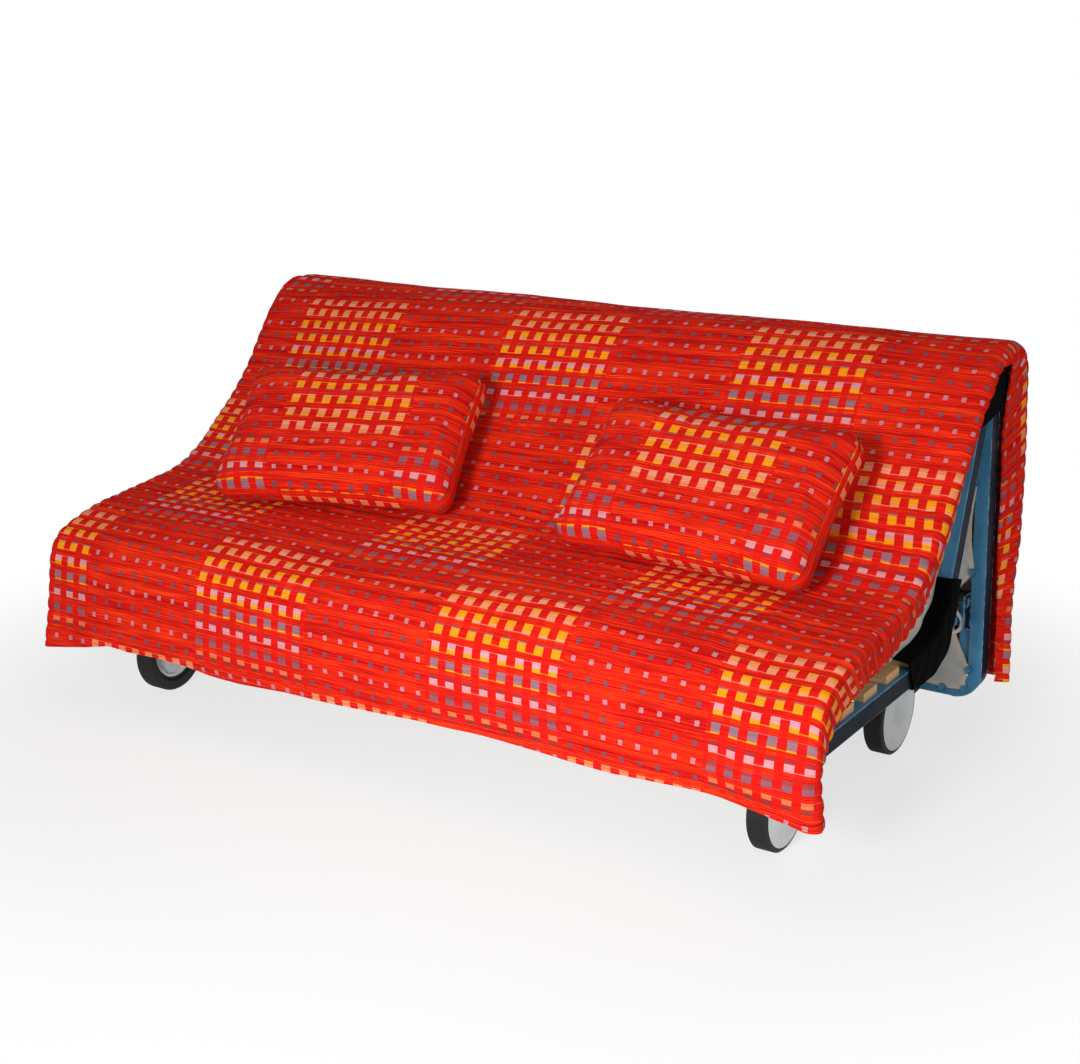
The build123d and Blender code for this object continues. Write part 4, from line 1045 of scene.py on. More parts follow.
# Stations of the mattress in centimetres: its upper face's y and z, then its lower face's
MATTRESS_FRONT = (
    (-46.2, 33.0, -45.6, 32.2), (-45.6, 35.2, -44.6, 32.15), (-43.8, 37.2, -42.5, 32.15),
    (-39.5, 39.6, -39.0, 32.15), (-31.8, 42.2, -31.5, 32.15), (-17.5, 43.7, -14.5, 32.15),
    (-10.8, 44.7, -2.0, 32.15), (-5.4, 46.8, 6.0, 32.2), (-1.4, 49.4, 11.4, 33.6),
    (2.9, 53.2, 16.2, 42.0), (8.6, 57.8, 20.1, 52.7), (13.5, 62.6, 22.8, 59.9),
    (17.2, 67.0, 24.6, 64.8),
)
MATTRESS_REAR = (
    (17.2, 67.0, 24.6, 64.8), (20.0, 70.3, 25.8, 68.1), (23.4, 75.0, 27.6, 72.8),
    (26.6, 79.3, 29.1, 76.8), (29.5, 82.0, 30.5, 80.6), (33.4, 83.6, 32.6, 81.9),
    (37.8, 84.9, 35.8, 81.7), (42.0, 85.5, 38.5, 80.6), (45.2, 84.6, 38.8, 78.6),
    (47.3, 82.2, 38.9, 76.0), (48.3, 77.0, 39.0, 73.0), (49.1, 69.5, 39.4, 67.5),
    (49.9, 58.0, 40.1, 57.0), (48.9, 45.0, 40.9, 44.5), (46.7, 33.0, 41.7, 32.7),
    (45.3, 24.8, 42.3, 24.2),
)


@dataclass
class Mattress:
    """The foam mattress in its striped ticking, in the same two lengths as the cover."""

    half_width: float = 0.900
    corner: float = 0.024
    under_cover: float = 5 * MM
    row_step: float = 12 * MM

    def pad(self, name: str, stations: tuple) -> bpy.types.Object:
        """Loft one length of the mattress.

        Args:
            name: The piece's name.
            stations: Upper and lower points, in centimetres.
        Returns:
            The closed pad.
        """
        rows = smooth_through(stations, 20)
        even, length = evenly(rows, self.row_step, 2)
        even[:, :2] += unit(even[:, 2:4] - even[:, :2]) * self.under_cover
        points, flat = [], []
        for i, (top_y, top_z, low_y, low_z) in enumerate(even):
            rise = math.hypot(top_y - low_y, top_z - low_z)
            loop = self.loop(rise)
            share = loop[:, 1:2]
            low = np.array([low_y, low_z])
            place = low + (np.array([top_y, top_z]) - low) * share
            crease = 2.2 * MM * ripple(loop[:, 2] + length[i] * 0.8, length[i] - loop[:, 2], 21, 9, 22)
            side = np.abs(loop[:, 0]) > self.half_width - 0.03
            x = loop[:, 0] - np.sign(loop[:, 0]) * np.where(side, np.abs(crease), 0)
            points.append(np.column_stack((x, place)))
            flat.append(np.column_stack((loop[:, 2], np.full(len(loop), length[i]))))
        grid = np.array(points)
        number = np.arange(grid[..., 0].size).reshape(grid.shape[:2])
        after = np.roll(number, -1, axis=1)
        faces = np.stack((number[:-1], after[:-1], after[1:], number[1:]), -1).reshape(-1, 4).tolist()
        # Each end is closed by quads between the upper and the lower half of its loop
        for row in (number[0].tolist(), number[-1].tolist()):
            for i in range(len(row) // 2 - 1):
                faces.append([row[i], row[i + 1], row[-2 - i], row[-1 - i]])
        made = build_mesh(name, grid.reshape(-1, 3), faces, np.array(flat).reshape(-1, 2))
        sharpen(made, 50)
        return made

    def loop(self, rise: float) -> np.ndarray:
        """Go round one cross-section: x, share of the height, and the run round it.

        Args:
            rise: The section's height.
        Returns:
            One row for each point.
        """
        radius = min(self.corner, rise * 0.45)
        half = self.half_width
        arc = np.linspace(0, math.pi / 2, 6)
        span = np.linspace(-(half - radius), half - radius, 61)
        top = [(x, rise) for x in span]
        right = [(half - radius + radius * math.sin(a), rise - radius + radius * math.cos(a))
                 for a in arc[1:]]
        wall = [(half, y) for y in np.linspace(rise - radius, 0.004, 7)[1:]]
        low = [(x, 0.0) for x in np.linspace(half - 0.004, 0.004 - half, 61)]
        left = [(-x, y) for x, y in (right + wall)][::-1]
        ring = np.array(top + right + wall + low + left)
        return np.column_stack((ring[:, 0], ring[:, 1] / rise, run_along(ring)))

    def build(self) -> None:
        """Build, dress and lay both lengths."""
        finish = FINISHES["ticking"]
        front = wear(self.pad("seat_mattress_pad", MATTRESS_FRONT), finish)
        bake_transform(front)
        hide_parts("seat_mattress", "crease_mattress", "back_mattress")
        rear = wear(self.pad("rear_mattress_pad", MATTRESS_REAR), finish)
        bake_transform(rear)
        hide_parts("top_mattress", "rear_mattress")
        LOG.info("mattress: two lengths")


@dataclass
class BoxCushion:
    """One box cushion: two crowned panels joined by a gusset, in the cover's cloth."""

    hand: Hand
    place: tuple
    lean: float
    turn: float
    roll: float
    width: float = 0.600
    height: float = 0.370
    gusset: float = 0.050
    crown: float = 0.034
    corner: float = 0.045
    draw_in: float = 0.005
    cells: tuple = (60, 37)
    swell_cap: float = 0.014

    def panel_point(self, a: float, b: float) -> tuple:
        """Map a point of the unit square to the panel's rounded outline.

        Args:
            a: From -1 to 1 across.
            b: From -1 to 1 up.
        Returns:
            Place across and up, in metres.
        """
        half_x, half_y = self.width / 2, self.height / 2
        x, y = a * half_x, b * half_y
        px = (abs(x) - (half_x - self.corner)) / self.corner
        py = (abs(y) - (half_y - self.corner)) / self.corner
        if px > 0 and py > 0:
            qx, qy = px * math.sqrt(1 - py * py / 2), py * math.sqrt(1 - px * px / 2)
            x = math.copysign(half_x - self.corner + qx * self.corner, x)
            y = math.copysign(half_y - self.corner + qy * self.corner, y)
        x -= math.copysign(self.draw_in * (1 - b * b) * abs(a) ** 3, x)
        y -= math.copysign(self.draw_in * (1 - a * a) * abs(b) ** 3, y)
        return x, y

    def shape(self) -> bpy.types.Object:
        """Build, swell and place the cushion.

        Returns:
            The object, still to be dressed.
        """
        nx, ny = self.cells
        points, panels = [], {}
        seam = []
        for side in (1, -1):
            for j in range(ny + 1):
                for i in range(nx + 1):
                    a, b = 2 * i / nx - 1, 2 * j / ny - 1
                    x, y = self.panel_point(a, b)
                    dome = max(0.0, (1 - a ** 4) * (1 - b ** 4)) ** 0.5
                    panels[side, i, j] = len(points)
                    if i in (0, nx) or j in (0, ny):
                        seam.append(len(points))
                    points.append((x, y, side * (self.gusset / 2 + self.crown * dome)))
        rim = ([(i, 0) for i in range(nx)] + [(nx, j) for j in range(ny)]
               + [(i, ny) for i in range(nx, 0, -1)] + [(0, j) for j in range(ny, 0, -1)])
        bands = 4
        ring = {(0, n): panels[1, i, j] for n, (i, j) in enumerate(rim)}
        ring.update({(bands, n): panels[-1, i, j] for n, (i, j) in enumerate(rim)})
        for k in range(1, bands):
            for n in range(len(rim)):
                near, far = Vector(points[ring[0, n]]), Vector(points[ring[bands, n]])
                out = Vector((near.x, near.y, 0)).normalized() * 3 * MM * math.sin(math.pi * k / bands)
                ring[k, n] = len(points)
                points.append(tuple(near.lerp(far, k / bands) + out))
        faces, flats = [], []
        for side in (1, -1):
            for j in range(ny):
                for i in range(nx):
                    quad = [(i, j), (i + 1, j), (i + 1, j + 1), (i, j + 1)][::side]
                    faces.append([panels[side, p, q] for p, q in quad])
                    flats.append([(side * (p / nx - 0.5) * self.width,
                                   (0.5 - q / ny) * self.height) for p, q in quad])
        run = 0.0
        for n in range(len(rim)):
            after = (n + 1) % len(rim)
            step = (Vector(points[ring[0, after]]) - Vector(points[ring[0, n]])).length
            for k in range(bands):
                faces.append([ring[k, n], ring[k + 1, n], ring[k + 1, after], ring[k, after]])
                depth = [0.3 + self.gusset * (k + d) / bands for d in (0, 1, 1, 0)]
                flats.append(list(zip((run, run, run + step, run + step), depth)))
            run += step
        mesh = bpy.data.meshes.new("cushion_" + self.hand.word)
        mesh.from_pydata(points, [], faces)
        layer = mesh.uv_layers.new(name="cloth")
        layer.data.foreach_set("uv", np.array([c for f in flats for c in f], np.float32).ravel())
        made = show("cushion_pad_" + self.hand.word, mesh)
        self.swell(made)
        self.sew(made, seam)
        self.lay(made)
        return made

    def swell(self, made: bpy.types.Object) -> None:
        """Blow the pad up as cloth, within a cap, and keep the result.

        Args:
            made: The pad, flat at the origin.
        """
        start = np.array([v.co for v in made.data.vertices])
        cloth = made.modifiers.new("swell", "CLOTH")
        cloth.settings.quality = 5
        cloth.settings.mass = 0.3
        cloth.settings.use_pressure = True
        cloth.settings.uniform_pressure_force = 4.0
        cloth.settings.tension_stiffness = 12
        cloth.settings.compression_stiffness = 12
        cloth.settings.shear_stiffness = 6
        cloth.settings.bending_stiffness = 0.4
        cloth.settings.effector_weights.gravity = 0.0
        scene = bpy.context.scene
        for frame_number in range(1, 16):
            scene.frame_set(frame_number)
        graph = bpy.context.evaluated_depsgraph_get()
        after = np.array([v.co for v in made.evaluated_get(graph).data.vertices])
        made.modifiers.remove(cloth)
        scene.frame_set(1)
        move = after - start
        reach = np.linalg.norm(move, axis=1)
        scale = np.where(reach > self.swell_cap, self.swell_cap / np.maximum(reach, 1e-9), 1.0)
        made.data.vertices.foreach_set("co", (start + move * scale[:, None]).ravel())
        made.data.update()

    def sew(self, made: bpy.types.Object, seam: list) -> None:
        """Draw the seams in and give the panels their soft unevenness.

        Args:
            made: The pad.
            seam: Numbers of the points on the seams.
        """
        mesh = made.data
        co = np.array([v.co for v in mesh.vertices])
        x, y = co[:, 0], co[:, 1]
        seed = 31 if self.hand is Hand.LEFT else 37
        uneven = 2.2 * MM * ripple(x, y, seed, 5.0, 5.0) + 0.8 * MM * ripple(x, y, seed + 1, 14, 20)
        face = np.abs(co[:, 2]) > self.gusset / 2 + 6 * MM
        co[:, 2] += np.sign(co[:, 2]) * np.where(face, uneven, 0)
        beat = np.abs(np.sin(math.pi * (co[:, 1] - 0.5 * 0.038) / 0.038)) ** 0.6
        co[:, 2] += np.sign(co[:, 2]) * np.where(face, 1.2 * MM * (beat - 0.7), 0)
        pulled = co[seam]
        flat = unit(pulled * np.array([1, 1, 0]))
        co[seam] = pulled - flat * 2.5 * MM - np.sign(pulled[:, 2:3]) * np.array([0, 0, 1]) * 1.5 * MM
        mesh.vertices.foreach_set("co", co.ravel())
        mesh.update()
        finer = made.modifiers.new("finer", "SUBSURF")
        finer.levels = finer.render_levels = 1
        keep_result(made, finer)

    def lay(self, made: bpy.types.Object) -> None:
        """Turn the pad to its place, leaning on the back.

        Args:
            made: The pad, flat at the origin.
        """
        lean, turn, roll = (math.radians(v) for v in (self.lean, self.turn, self.roll))
        up = Vector((0, math.sin(lean), math.cos(lean)))
        side = Vector((1, 0, 0)) * math.cos(roll) + up * math.sin(roll)
        spin = Matrix.Rotation(turn, 3, "Z")
        normal = spin @ Vector((0, -math.cos(lean), math.sin(lean)))
        x_dir = (spin @ side).normalized()
        y_dir = normal.cross(x_dir).normalized()
        x_dir = y_dir.cross(normal).normalized()
        turned = Matrix((x_dir, y_dir, normal)).transposed().to_4x4()
        made.data.transform(Matrix.Translation(Vector(self.place)) @ turned)

    def build(self) -> None:
        """Build, dress and hang the cushion."""
        made = wear(self.shape(), CUSHION_CLOTH)
        made.data.shade_smooth()
        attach(made, "cushion_" + self.hand.word)
        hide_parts("cushion_" + self.hand.word)
        LOG.info("cushion %s: %d faces", self.hand.word, len(made.data.polygons))


@dataclass
class Wheels:
    """Four rubber tyres with a finely ribbed tread, round the moulded hubs."""

    radius: float = 0.093
    groove: float = 1.3 * MM
    width: float = 0.045
    outer_x: float = 0.806
    ribs: int = 132
    segments: int = 96
    axles: tuple = (("front", -0.311), ("rear", 0.235))

    def profile(self) -> list:
        """Draw the tyre's outline round its hub.

        Returns:
            Axial and radial places, in metres.
        """
        low = self.radius - self.groove
        shoulder = 5.0 * MM
        path = [(8 * MM, 0.0623), (8 * MM, 0.070), (0.0, 0.0705), (0.0, 0.080), (0.6 * MM, low - shoulder)]
        for i in range(1, 6):
            a = math.pi / 2 * i / 5
            path.append((0.6 * MM + shoulder * (1 - math.cos(a)), low - shoulder + shoulder * math.sin(a)))
        mirrored = [(self.width - x, r) for x, r in path[::-1] if r > 0.083]
        return path + mirrored + [(self.width, 0.0833), (self.width - 11 * MM, 0.0833),
                                  (self.width - 11 * MM, 0.0623)]

    def tread(self) -> bpy.types.NodeTree:
        """Make the tree that sets ribs round the tyre's axle.

        Returns:
            The tree.
        """
        tree = new_tree("tread_ribs", {"Ribs": self.ribs, "Radius": self.radius - 0.9 * MM,
                                       "Width": self.width - 9 * MM, "Thickness": 2.0 * MM,
                                       "Height": 1.8 * MM})
        entry = tree.nodes["Group Input"]
        ring = put(tree, "GeometryNodeMeshCircle", {"Vertices": entry.outputs["Ribs"],
                                                    "Radius": entry.outputs["Radius"]})
        size = put(tree, "ShaderNodeCombineXYZ", (entry.outputs["Height"],
                                                  entry.outputs["Thickness"],
                                                  entry.outputs["Width"]))
        block = put(tree, "GeometryNodeMeshCube", {"Size": size})
        index = put(tree, "GeometryNodeInputIndex")
        share = put(tree, MATH, (index, entry.outputs["Ribs"]), operation="DIVIDE")
        angle = put(tree, MATH, (share, math.tau), operation="MULTIPLY")
        spin = put(tree, "ShaderNodeCombineXYZ", (0.0, 0.0, angle))
        ribs = put(tree, "GeometryNodeInstanceOnPoints", {"Points": ring, "Instance": block,
                                                          "Rotation": spin})
        laid = put(tree, "GeometryNodeTransform", {"Geometry": ribs, "Rotation": (0, math.pi / 2, 0)})
        joined = put(tree, "GeometryNodeJoinGeometry", (laid,))
        tree.links.new(entry.outputs["Shape"], joined.inputs[0])
        close_tree(tree, joined, FINISHES["black_rubber"].material())
        return tree

    def build(self) -> None:
        """Build the four tyres."""
        tree = self.tread()
        axial, radial = np.array(self.profile()).T
        angle = math.tau * np.arange(self.segments)[:, None] / self.segments
        number = np.arange(self.segments * len(axial)).reshape(self.segments, -1)
        after = np.roll(number, -1, axis=0)
        faces = np.stack((number, after, np.roll(after, -1, axis=1), np.roll(number, -1, axis=1)), -1)
        faces = faces.reshape(-1, 4).tolist()
        for end, y in self.axles:
            for hand in Hand:
                points = np.stack(np.broadcast_arrays(
                    hand.value * (axial - self.width / 2), radial * np.cos(angle),
                    radial * np.sin(angle)), -1)
                name = f"tyre_{end}_{hand.word}"
                made = build_mesh("ribbed_" + name, points.reshape(-1, 3), faces)
                grow(made, tree, {"Ribs": self.ribs})
                middle = hand.value * (self.outer_x - self.width / 2)
                made.data.transform(Matrix.Translation((middle, y, self.radius)))
                sharpen(made, 35)
                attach(made, f"wheel_{end}_{hand.word}")
                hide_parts(name)
        LOG.info("wheels: four tyres with %d ribs each", self.ribs)


@dataclass
class RearCanvas:
    """The canvas across the rear frame: scalloped between its buttons, hemmed and creased."""

    half: float = 0.905
    top: float = 0.150
    end: float = 0.686
    thickness: float = 1.5 * MM
    side_buttons: tuple = (0.204, 0.408, 0.634)
    apex: tuple = (0.847, 0.489)
    corner: tuple = (0.895, 0.681)
    end_reach: float = 0.845
    end_pitch: float = 0.18778
    end_buttons: int = 10
    end_scallop: float = 5 * MM
    scallop_depth: float = 0.03
    crease_reach: float = 0.09
    crease_depth: float = 1.3 * MM
    hem_width: float = 0.011
    clearance: float = 0.2 * MM

    def half_width(self, y: float) -> float:
        """Find how far out the canvas reaches, drawn in between each two fixings.

        Args:
            y: Place along the rear section.
        Returns:
            Half width in metres.
        """
        knots = [(self.half - 0.004, self.top), (self.half, self.side_buttons[0]),
                 (self.half, self.side_buttons[1]), self.apex, (self.half, self.side_buttons[2]),
                 (self.corner[0] + 0.004, self.end)]
        depths = [0.002, 0.010, 0.003, 0.004, 0.008]
        for start, stop, depth in zip(knots[:-1], knots[1:], depths):
            if y <= stop[1]:
                t = (y - start[1]) / (stop[1] - start[1])
                return start[0] + (stop[0] - start[0]) * t - depth * math.sin(math.pi * t)
        return knots[-1][0]

    def build(self) -> None:
        """Build the canvas and its buttons."""
        y = np.unique(np.concatenate((np.linspace(self.top, self.end, 78),
                                      self.side_buttons, [self.apex[1]])))[:, None]
        half = np.array([[self.half_width(float(row[0]))] for row in y])
        spread = np.sin(np.linspace(-1, 1, 121) * math.pi / 2)
        x = spread * half
        # Creases fan out from the side buttons and the lower corners
        inward = self.half - np.abs(x)
        fan = sum(np.exp(-np.hypot(inward, y - place) / self.crease_reach)
                  * np.sin(np.arctan2(y - place, inward) * 9 + place * 40)
                  for place in self.side_buttons + (self.end,))
        # The lower edge rises a little between its buttons
        wave = np.abs(np.sin(math.pi * (x + self.end_reach) / self.end_pitch))
        rise = self.end_scallop * wave * np.clip(1 - (self.end - y) / self.scallop_depth, 0, 1)
        to_edge = np.minimum((1 - np.abs(spread)) * half, np.minimum(y - self.top, self.end - y))
        band = (to_edge < self.hem_width).astype(float)
        middle = REAR.at(x, y - rise, -self.thickness / 2 - self.clearance
                         - np.maximum(self.crease_depth * fan, -self.clearance))
        up = REAR.at(0, 0, 1) - REAR.at(0, 0, 0)
        swell = (self.thickness / 2 * (0.75 + 0.5 * band))[..., None]
        points, faces = shell(middle - up * swell, middle + up * swell)
        cloth = np.stack(np.broadcast_arrays(x, y), -1).reshape(-1, 2)
        made = build_mesh("stretched_canvas", points, faces, np.vstack((cloth, cloth)),
                          np.concatenate((band.ravel(), band.ravel())))
        wear(made, FINISHES["canvas"])
        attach(made, "rear")
        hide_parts("rear_canvas")
        self.buttons()
        LOG.info("canvas: %d faces", len(made.data.polygons))

    def buttons(self) -> None:
        """Set a dished round button at each fixing, from one lathed form."""
        outline = [(0.0, 2.2), (1.0, 2.2), (1.4, 1.6), (2.2, 1.4), (5.0, 1.9), (7.6, 3.3), (8.6, 3.8),
                   (9.3, 3.3), (9.5, 2.0), (9.5, 0.0), (0.0, 0.0)]
        segments = 28
        points, faces = [(0.0, 0.0, outline[0][1] * MM)], []
        rings = outline[1:-1]
        for r, z in rings:
            for n in range(segments):
                a = math.tau * n / segments
                points.append((r * MM * math.cos(a), r * MM * math.sin(a), z * MM))
        points.append((0.0, 0.0, 0.0))
        for n in range(segments):
            after = (n + 1) % segments
            faces.append([0, 1 + n, 1 + after])
            for k in range(len(rings) - 1):
                base = 1 + k * segments
                faces.append([base + n, base + segments + n, base + segments + after, base + after])
            base = 1 + (len(rings) - 1) * segments
            faces.append([base + n, len(points) - 1, base + after])
        form = build_mesh("button_form", np.array(points), faces)
        places = []
        for side in (-1, 1):
            places += [(side * (self.half - 2.5 * MM), y) for y in self.side_buttons]
            places.append((side * self.corner[0], self.corner[1]))
        places += [(i * 2 * self.end_reach / 9 - self.end_reach, self.end)
                   for i in range(self.end_buttons)]
        mesh = bpy.data.meshes.new("canvas_button_set")
        across, along = np.array(places).T
        mesh.from_pydata(REAR.at(across, along, -self.thickness - self.clearance).tolist(), [], [])
        made = show("canvas_button_set", mesh)
        tree = new_tree("button_places", {"Turn": math.pi / 2 + TILT})
        entry = tree.nodes["Group Input"]
        source = put(tree, "GeometryNodeObjectInfo")
        source.inputs["Object"].default_value = form
        spin = put(tree, "ShaderNodeCombineXYZ", (entry.outputs["Turn"], 0.0, 0.0))
        dots = put(tree, "GeometryNodeMeshToPoints", (entry.outputs["Shape"],))
        placed = put(tree, "GeometryNodeInstanceOnPoints", {
            "Points": dots, "Instance": source.outputs["Geometry"], "Rotation": spin})
        close_tree(tree, placed, FINISHES["blue_plastic"].material())
        grow(made, tree, {})
        bpy.data.objects.remove(form)
        made.data.shade_smooth()
        sharpen(made, 40)
        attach(made, "rear")
        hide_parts("canvas_buttons")


# Sleeves in centimetres: y and z of the cloth's inner front edge, its outer front corner and its
# outer rear corner
# The lower sleeve reaches wide over the gap between the cover's flap and the tube: that part of it is
# painted shadow, a black sheet where there is only shade
LOWER_SLEEVE_AND_SHADOW = (
    (-5.6, 32.7, -5.6, 32.4, -2.2, 25.9), (-1.0, 33.0, -1.0, 32.7, 1.3, 25.7),
    (3.6, 33.3, 3.5, 32.9, 6.9, 25.5), (7.3, 34.1, 7.2, 33.4, 11.0, 26.3),
    (9.2, 35.2, 9.8, 34.2, 15.0, 28.0), (11.4, 37.0, 12.2, 36.4, 17.2, 31.2),
    (14.4, 38.9, 14.6, 38.8, 18.7, 34.8), (15.4, 41.3, 15.6, 41.2, 19.9, 38.5),
    (16.3, 43.6, 16.5, 43.6, 21.0, 42.2),
)
UPPER_SLEEVE = (
    (27.2, 72.8, 27.2, 72.8, 41.0, 74.8), (28.4, 76.0, 28.4, 76.0, 41.2, 77.5),
    (29.6, 79.0, 29.6, 79.0, 41.2, 79.8), (31.2, 81.0, 31.2, 81.0, 40.6, 81.2),
    (33.2, 82.2, 33.2, 82.2, 39.2, 82.2),
)


@dataclass
class Sleeves:
    """Black cloth sleeves wrapped round the tubes at each hinge. The lower ones are drawn wide, so that
    part of their black cloth is painted shadow over the gap between the cover's flap and the tube.
    """

    inner_x: float = 0.8995
    outer_x: float = 0.9335
    thickness: float = 2.0 * MM
    tuck: float = 0.028
    face_width: float = 0.034
    stand_off: float = 2.5 * MM

    def sleeve(self, name: str, stations: tuple, hand: Hand, tucked: bool) -> bpy.types.Object:
        """Build one sleeve.

        Args:
            name: The piece's name.
            stations: Corner points, in centimetres.
            hand: Which end of the sofa.
            tucked: Whether the rear edge turns in behind the tube.
        Returns:
            The closed sleeve.
        """
        rows = smooth_through(stations, 10)
        even, length = evenly(rows, 4 * MM, 2)
        front_x = np.linspace(self.inner_x, self.outer_x, 7)
        grid, flat = [], []
        for i, (ay, az, by, bz, cy, cz) in enumerate(even):
            row, cloth = [], []
            fray = 2.5 * MM * abs(math.sin(i * 2.1)) if i in (0, len(even) - 1) else 0.0
            reach = math.hypot(cy - by, cz - bz)
            dy, dz = (cy - by) / reach, (cz - bz) / reach
            for n, x in enumerate(front_x):
                t = n / 6
                off = self.stand_off * (1 - max(0.0, t - 0.8) * 4)
                row.append((x, ay + (by - ay) * t - dy * off, az + (bz - az) * t - dz * off))
                cloth.append((t * self.face_width, length[i]))
            for n in range(1, 15):
                t = n / 14
                wave = 1.4 * MM * math.sin(math.pi * t) + 0.9 * MM * math.sin(i * 0.45 + t * 8)
                row.append((self.outer_x + 1.2 * MM + wave, by + (cy - by) * t,
                            bz + (cz - bz) * t - fray * math.sin(n * 1.7)))
                cloth.append((self.face_width + t * reach, length[i]))
            if tucked:
                for n in range(1, 7):
                    row.append((self.outer_x - self.tuck * n / 6, cy + dy * self.stand_off,
                                cz + dz * self.stand_off))
                    cloth.append((self.face_width + reach + n * 5 * MM, length[i]))
            grid.append(row)
            flat.append(cloth)
        outer = np.array(grid)
        along, across = np.gradient(outer, axis=0), np.gradient(outer, axis=1)
        out = unit(np.cross(along, across))
        if out[len(out) // 2, 12, 0] < 0:
            out = -out
        inner = outer - out * self.thickness
        points, faces = shell(outer, inner)
        points[:, 0] *= hand.value
        cloth = np.array(flat).reshape(-1, 2)
        return build_mesh(name, points, faces, np.vstack((cloth, cloth)))

    def build(self) -> None:
        """Build the four sleeves."""
        for hand in Hand:
            low = wear(self.sleeve("lower_sleeve_" + hand.word, LOWER_SLEEVE_AND_SHADOW, hand, True),
                       FINISHES["black_cloth"])
            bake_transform(low)
            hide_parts("seat_sleeves", "back_sleeves")
            high = wear(self.sleeve("upper_sleeve_" + hand.word, UPPER_SLEEVE, hand, False),
                        FINISHES["black_cloth"])
            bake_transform(high)
            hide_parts("rear_sleeves")
        LOG.info("sleeves: four")


@dataclass
class FrameParts:
    """The tubes, plates, slats, hubs and fittings, which keep their own shapes."""

    nodes: dict
    slots: dict

    def build(self) -> None:
        """Give each shown node its finish."""
        count = 0
        for name, node in self.nodes.items():
            if node.hide_render:
                continue
            finish = FINISHES[self.slots[name]]
            if not node.data.materials:
                node.data.materials.append(None)
            for i in range(len(node.data.materials)):
                node.data.materials[i] = finish.material()
            count += 1
        LOG.info("frame parts: %d nodes dressed", count)


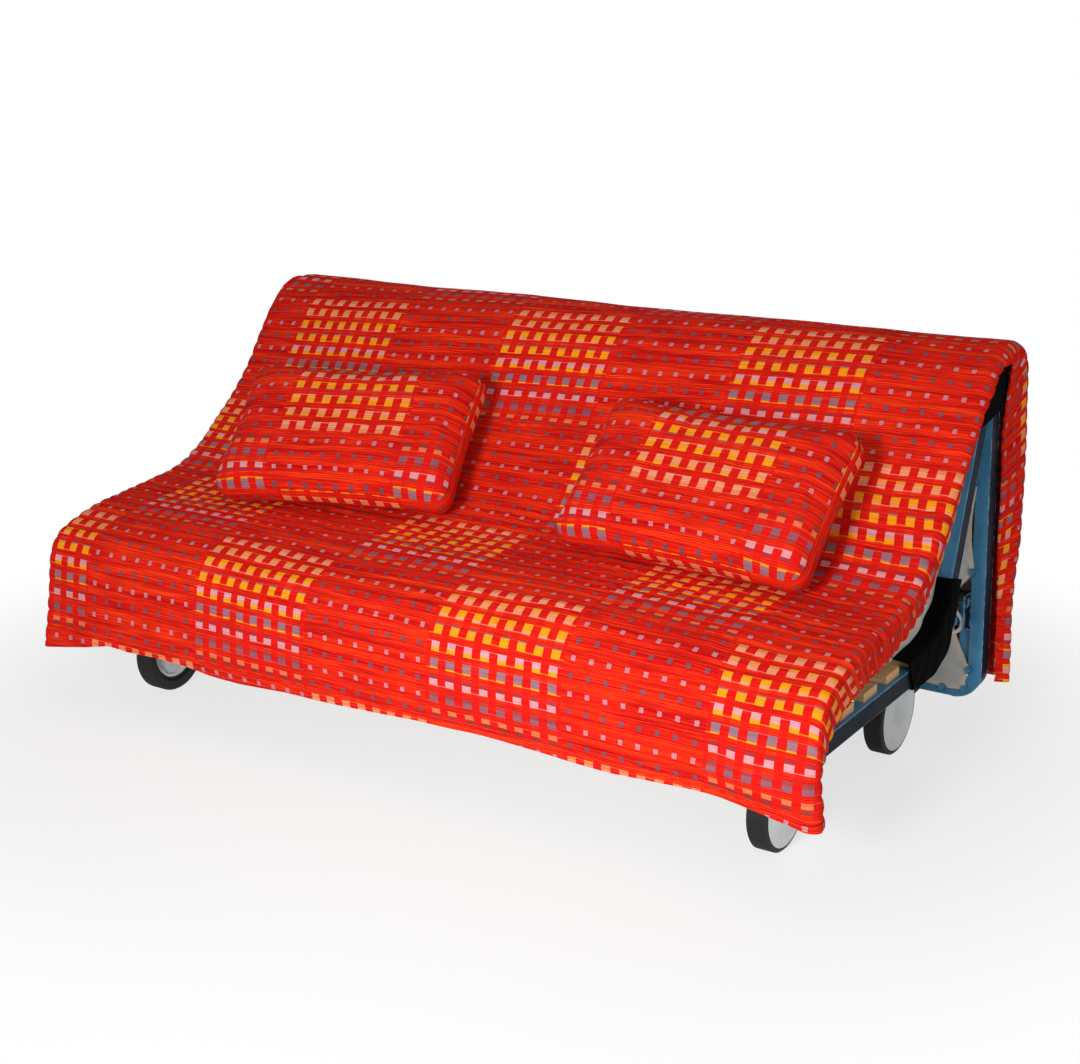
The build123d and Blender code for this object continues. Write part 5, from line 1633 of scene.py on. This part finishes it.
@dataclass
class Studio:
    """Camera, lamps, pale floor and background."""

    eye: tuple = (2.2039, -3.3465, 1.6521)
    yaw: float = 0.573349
    pitch: float = 0.293721
    roll: float = -0.004274
    focal_px: float = 1898.535
    centre_px: tuple = (538.761, 526.031)
    frame_px: tuple = (1080, 1064)
    # Name, place, target, side in metres, watts, and how wide the beam opens in degrees
    lamps: tuple = (
        ("key", (0.9, -4.3, 1.7), (0.40, -0.60, -0.2), 0.9, 29, 74),
        ("side", (4.2, -2.0, 1.2), (0.9, 0.0, 0.4), 1.2, 15, 120),
        ("top", (0.0, -0.6, 3.6), (0, 0, 0.4), 2.4, 9, 160))

    def camera(self) -> None:
        """Set the camera at the photograph's viewing angle."""
        ahead = Vector((-math.sin(self.yaw) * math.cos(self.pitch),
                        math.cos(self.yaw) * math.cos(self.pitch), -math.sin(self.pitch)))
        right = Vector((math.cos(self.yaw), math.sin(self.yaw), 0))
        up = right.cross(ahead)
        side = right * math.cos(self.roll) + up * math.sin(self.roll)
        top = up * math.cos(self.roll) - right * math.sin(self.roll)
        lens = bpy.data.cameras.new("camera")
        lens.sensor_width = 36
        lens.lens = self.focal_px / self.frame_px[0] * 36
        lens.shift_x = (self.frame_px[0] / 2 - self.centre_px[0]) / self.frame_px[0]
        lens.shift_y = (self.centre_px[1] - self.frame_px[1] / 2) / self.frame_px[0]
        lens.clip_end = 60
        camera = show("camera", lens)
        camera.matrix_world = Matrix.Translation(self.eye) @ Matrix(
            (side, top, -ahead)).transposed().to_4x4()
        bpy.context.scene.camera = camera

    def lamp(self, name: str, place: tuple, target: tuple, size: float, power: float,
             spread: float) -> None:
        """Hang one soft square lamp.

        Args:
            name: The lamp's name.
            place: Where it hangs.
            target: What it points at.
            size: Its side in metres.
            power: Its power in watts.
            spread: How wide its beam opens, in degrees.
        """
        light = bpy.data.lights.new(name, "AREA")
        light.spread = math.radians(spread)
        light.size = size
        light.energy = power
        made = show(name, light)
        made.location = place
        made.rotation_euler = (Vector(target) - Vector(place)).to_track_quat("-Z", "Y").to_euler()

    def floor(self) -> None:
        """Lay a pale floor that fades to the white background away from the sofa."""
        mesh = bpy.data.meshes.new("floor")
        mesh.from_pydata([(-9, -9, -0.0005), (9, -9, -0.0005), (9, 9, -0.0005), (-9, 9, -0.0005)], [],
                         [(0, 1, 2, 3)])
        made = show("floor", mesh)
        material = bpy.data.materials.new("studio_floor")
        material.use_nodes = True
        tree = material.node_tree
        matt = tree.nodes["Principled BSDF"]
        matt.inputs["Base Color"].default_value = linear("#F2F2F2")
        matt.inputs["Roughness"].default_value = 0.9
        matt.inputs["Specular IOR Level"].default_value = 0.1
        glow = put(tree, "ShaderNodeEmission", {"Color": (1, 1, 1, 1), "Strength": 1.0})
        place = put(tree, "ShaderNodeTexCoord")
        far = put(tree, "ShaderNodeVectorMath", (place.outputs["Object"],), operation="LENGTH")
        fade = put(tree, "ShaderNodeMapRange", {"Value": far.outputs["Value"], "From Min": 1.0,
                                                "From Max": 1.8, "To Min": 0.70, "To Max": 1.0},
                   interpolation_type="SMOOTHSTEP")
        ray = put(tree, "ShaderNodeLightPath")
        seen = put(tree, MATH, (ray.outputs["Is Camera Ray"], ray.outputs["Is Glossy Ray"]),
                   operation="MAXIMUM")
        share = put(tree, MATH, (fade, seen), operation="MULTIPLY")
        mixed = put(tree, "ShaderNodeMixShader", (share, matt, glow))
        tree.links.new(mixed.outputs[0], tree.nodes["Material Output"].inputs["Surface"])
        mesh.materials.append(material)

    def world(self) -> None:
        """Set plain fill light, and white behind the sofa for the camera and for reflections."""
        world = bpy.data.worlds.new("studio")
        world.use_nodes = True
        bpy.context.scene.world = world
        tree = world.node_tree
        soft = tree.nodes["Background"]
        soft.inputs["Color"].default_value = (1, 1, 1, 1)
        soft.inputs["Strength"].default_value = 0.26
        white = put(tree, "ShaderNodeBackground", {"Color": (1, 1, 1, 1), "Strength": 1.0})
        ray = put(tree, "ShaderNodeLightPath")
        seen = put(tree, MATH, (ray.outputs["Is Camera Ray"], ray.outputs["Is Glossy Ray"]),
                   operation="MAXIMUM")
        seen = put(tree, MATH, (seen, ray.outputs["Is Transmission Ray"]), operation="MAXIMUM")
        mixed = put(tree, "ShaderNodeMixShader", (seen, soft, white))
        tree.links.new(mixed.outputs[0], tree.nodes["World Output"].inputs["Surface"])

    def build(self) -> None:
        """Set up the whole studio."""
        bpy.context.scene.view_settings.view_transform = "Standard"
        self.camera()
        self.floor()
        self.world()
        for lamp in self.lamps:
            self.lamp(*lamp)
        LOG.info("studio: camera, floor and lamps")


def main() -> None:
    """Load the frame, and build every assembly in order."""
    logging.basicConfig(level=logging.INFO, format="%(name)s %(message)s")
    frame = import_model()
    slots = {part["node"]: part["material_slot"] for part in frame["record"]["subparts"]}
    Studio().build()
    Mattress().build()
    Cover().build()
    BoxCushion(Hand.LEFT, (-0.405, -0.086, 0.6066), 48.5, 10.0, 3.0).build()
    BoxCushion(Hand.RIGHT, (0.491, -0.069, 0.6101), 46.2, -1.8, -0.7).build()
    Wheels().build()
    RearCanvas().build()
    Sleeves().build()
    FrameParts(frame["nodes"], slots).build()


if __name__ == "__main__":
    main()
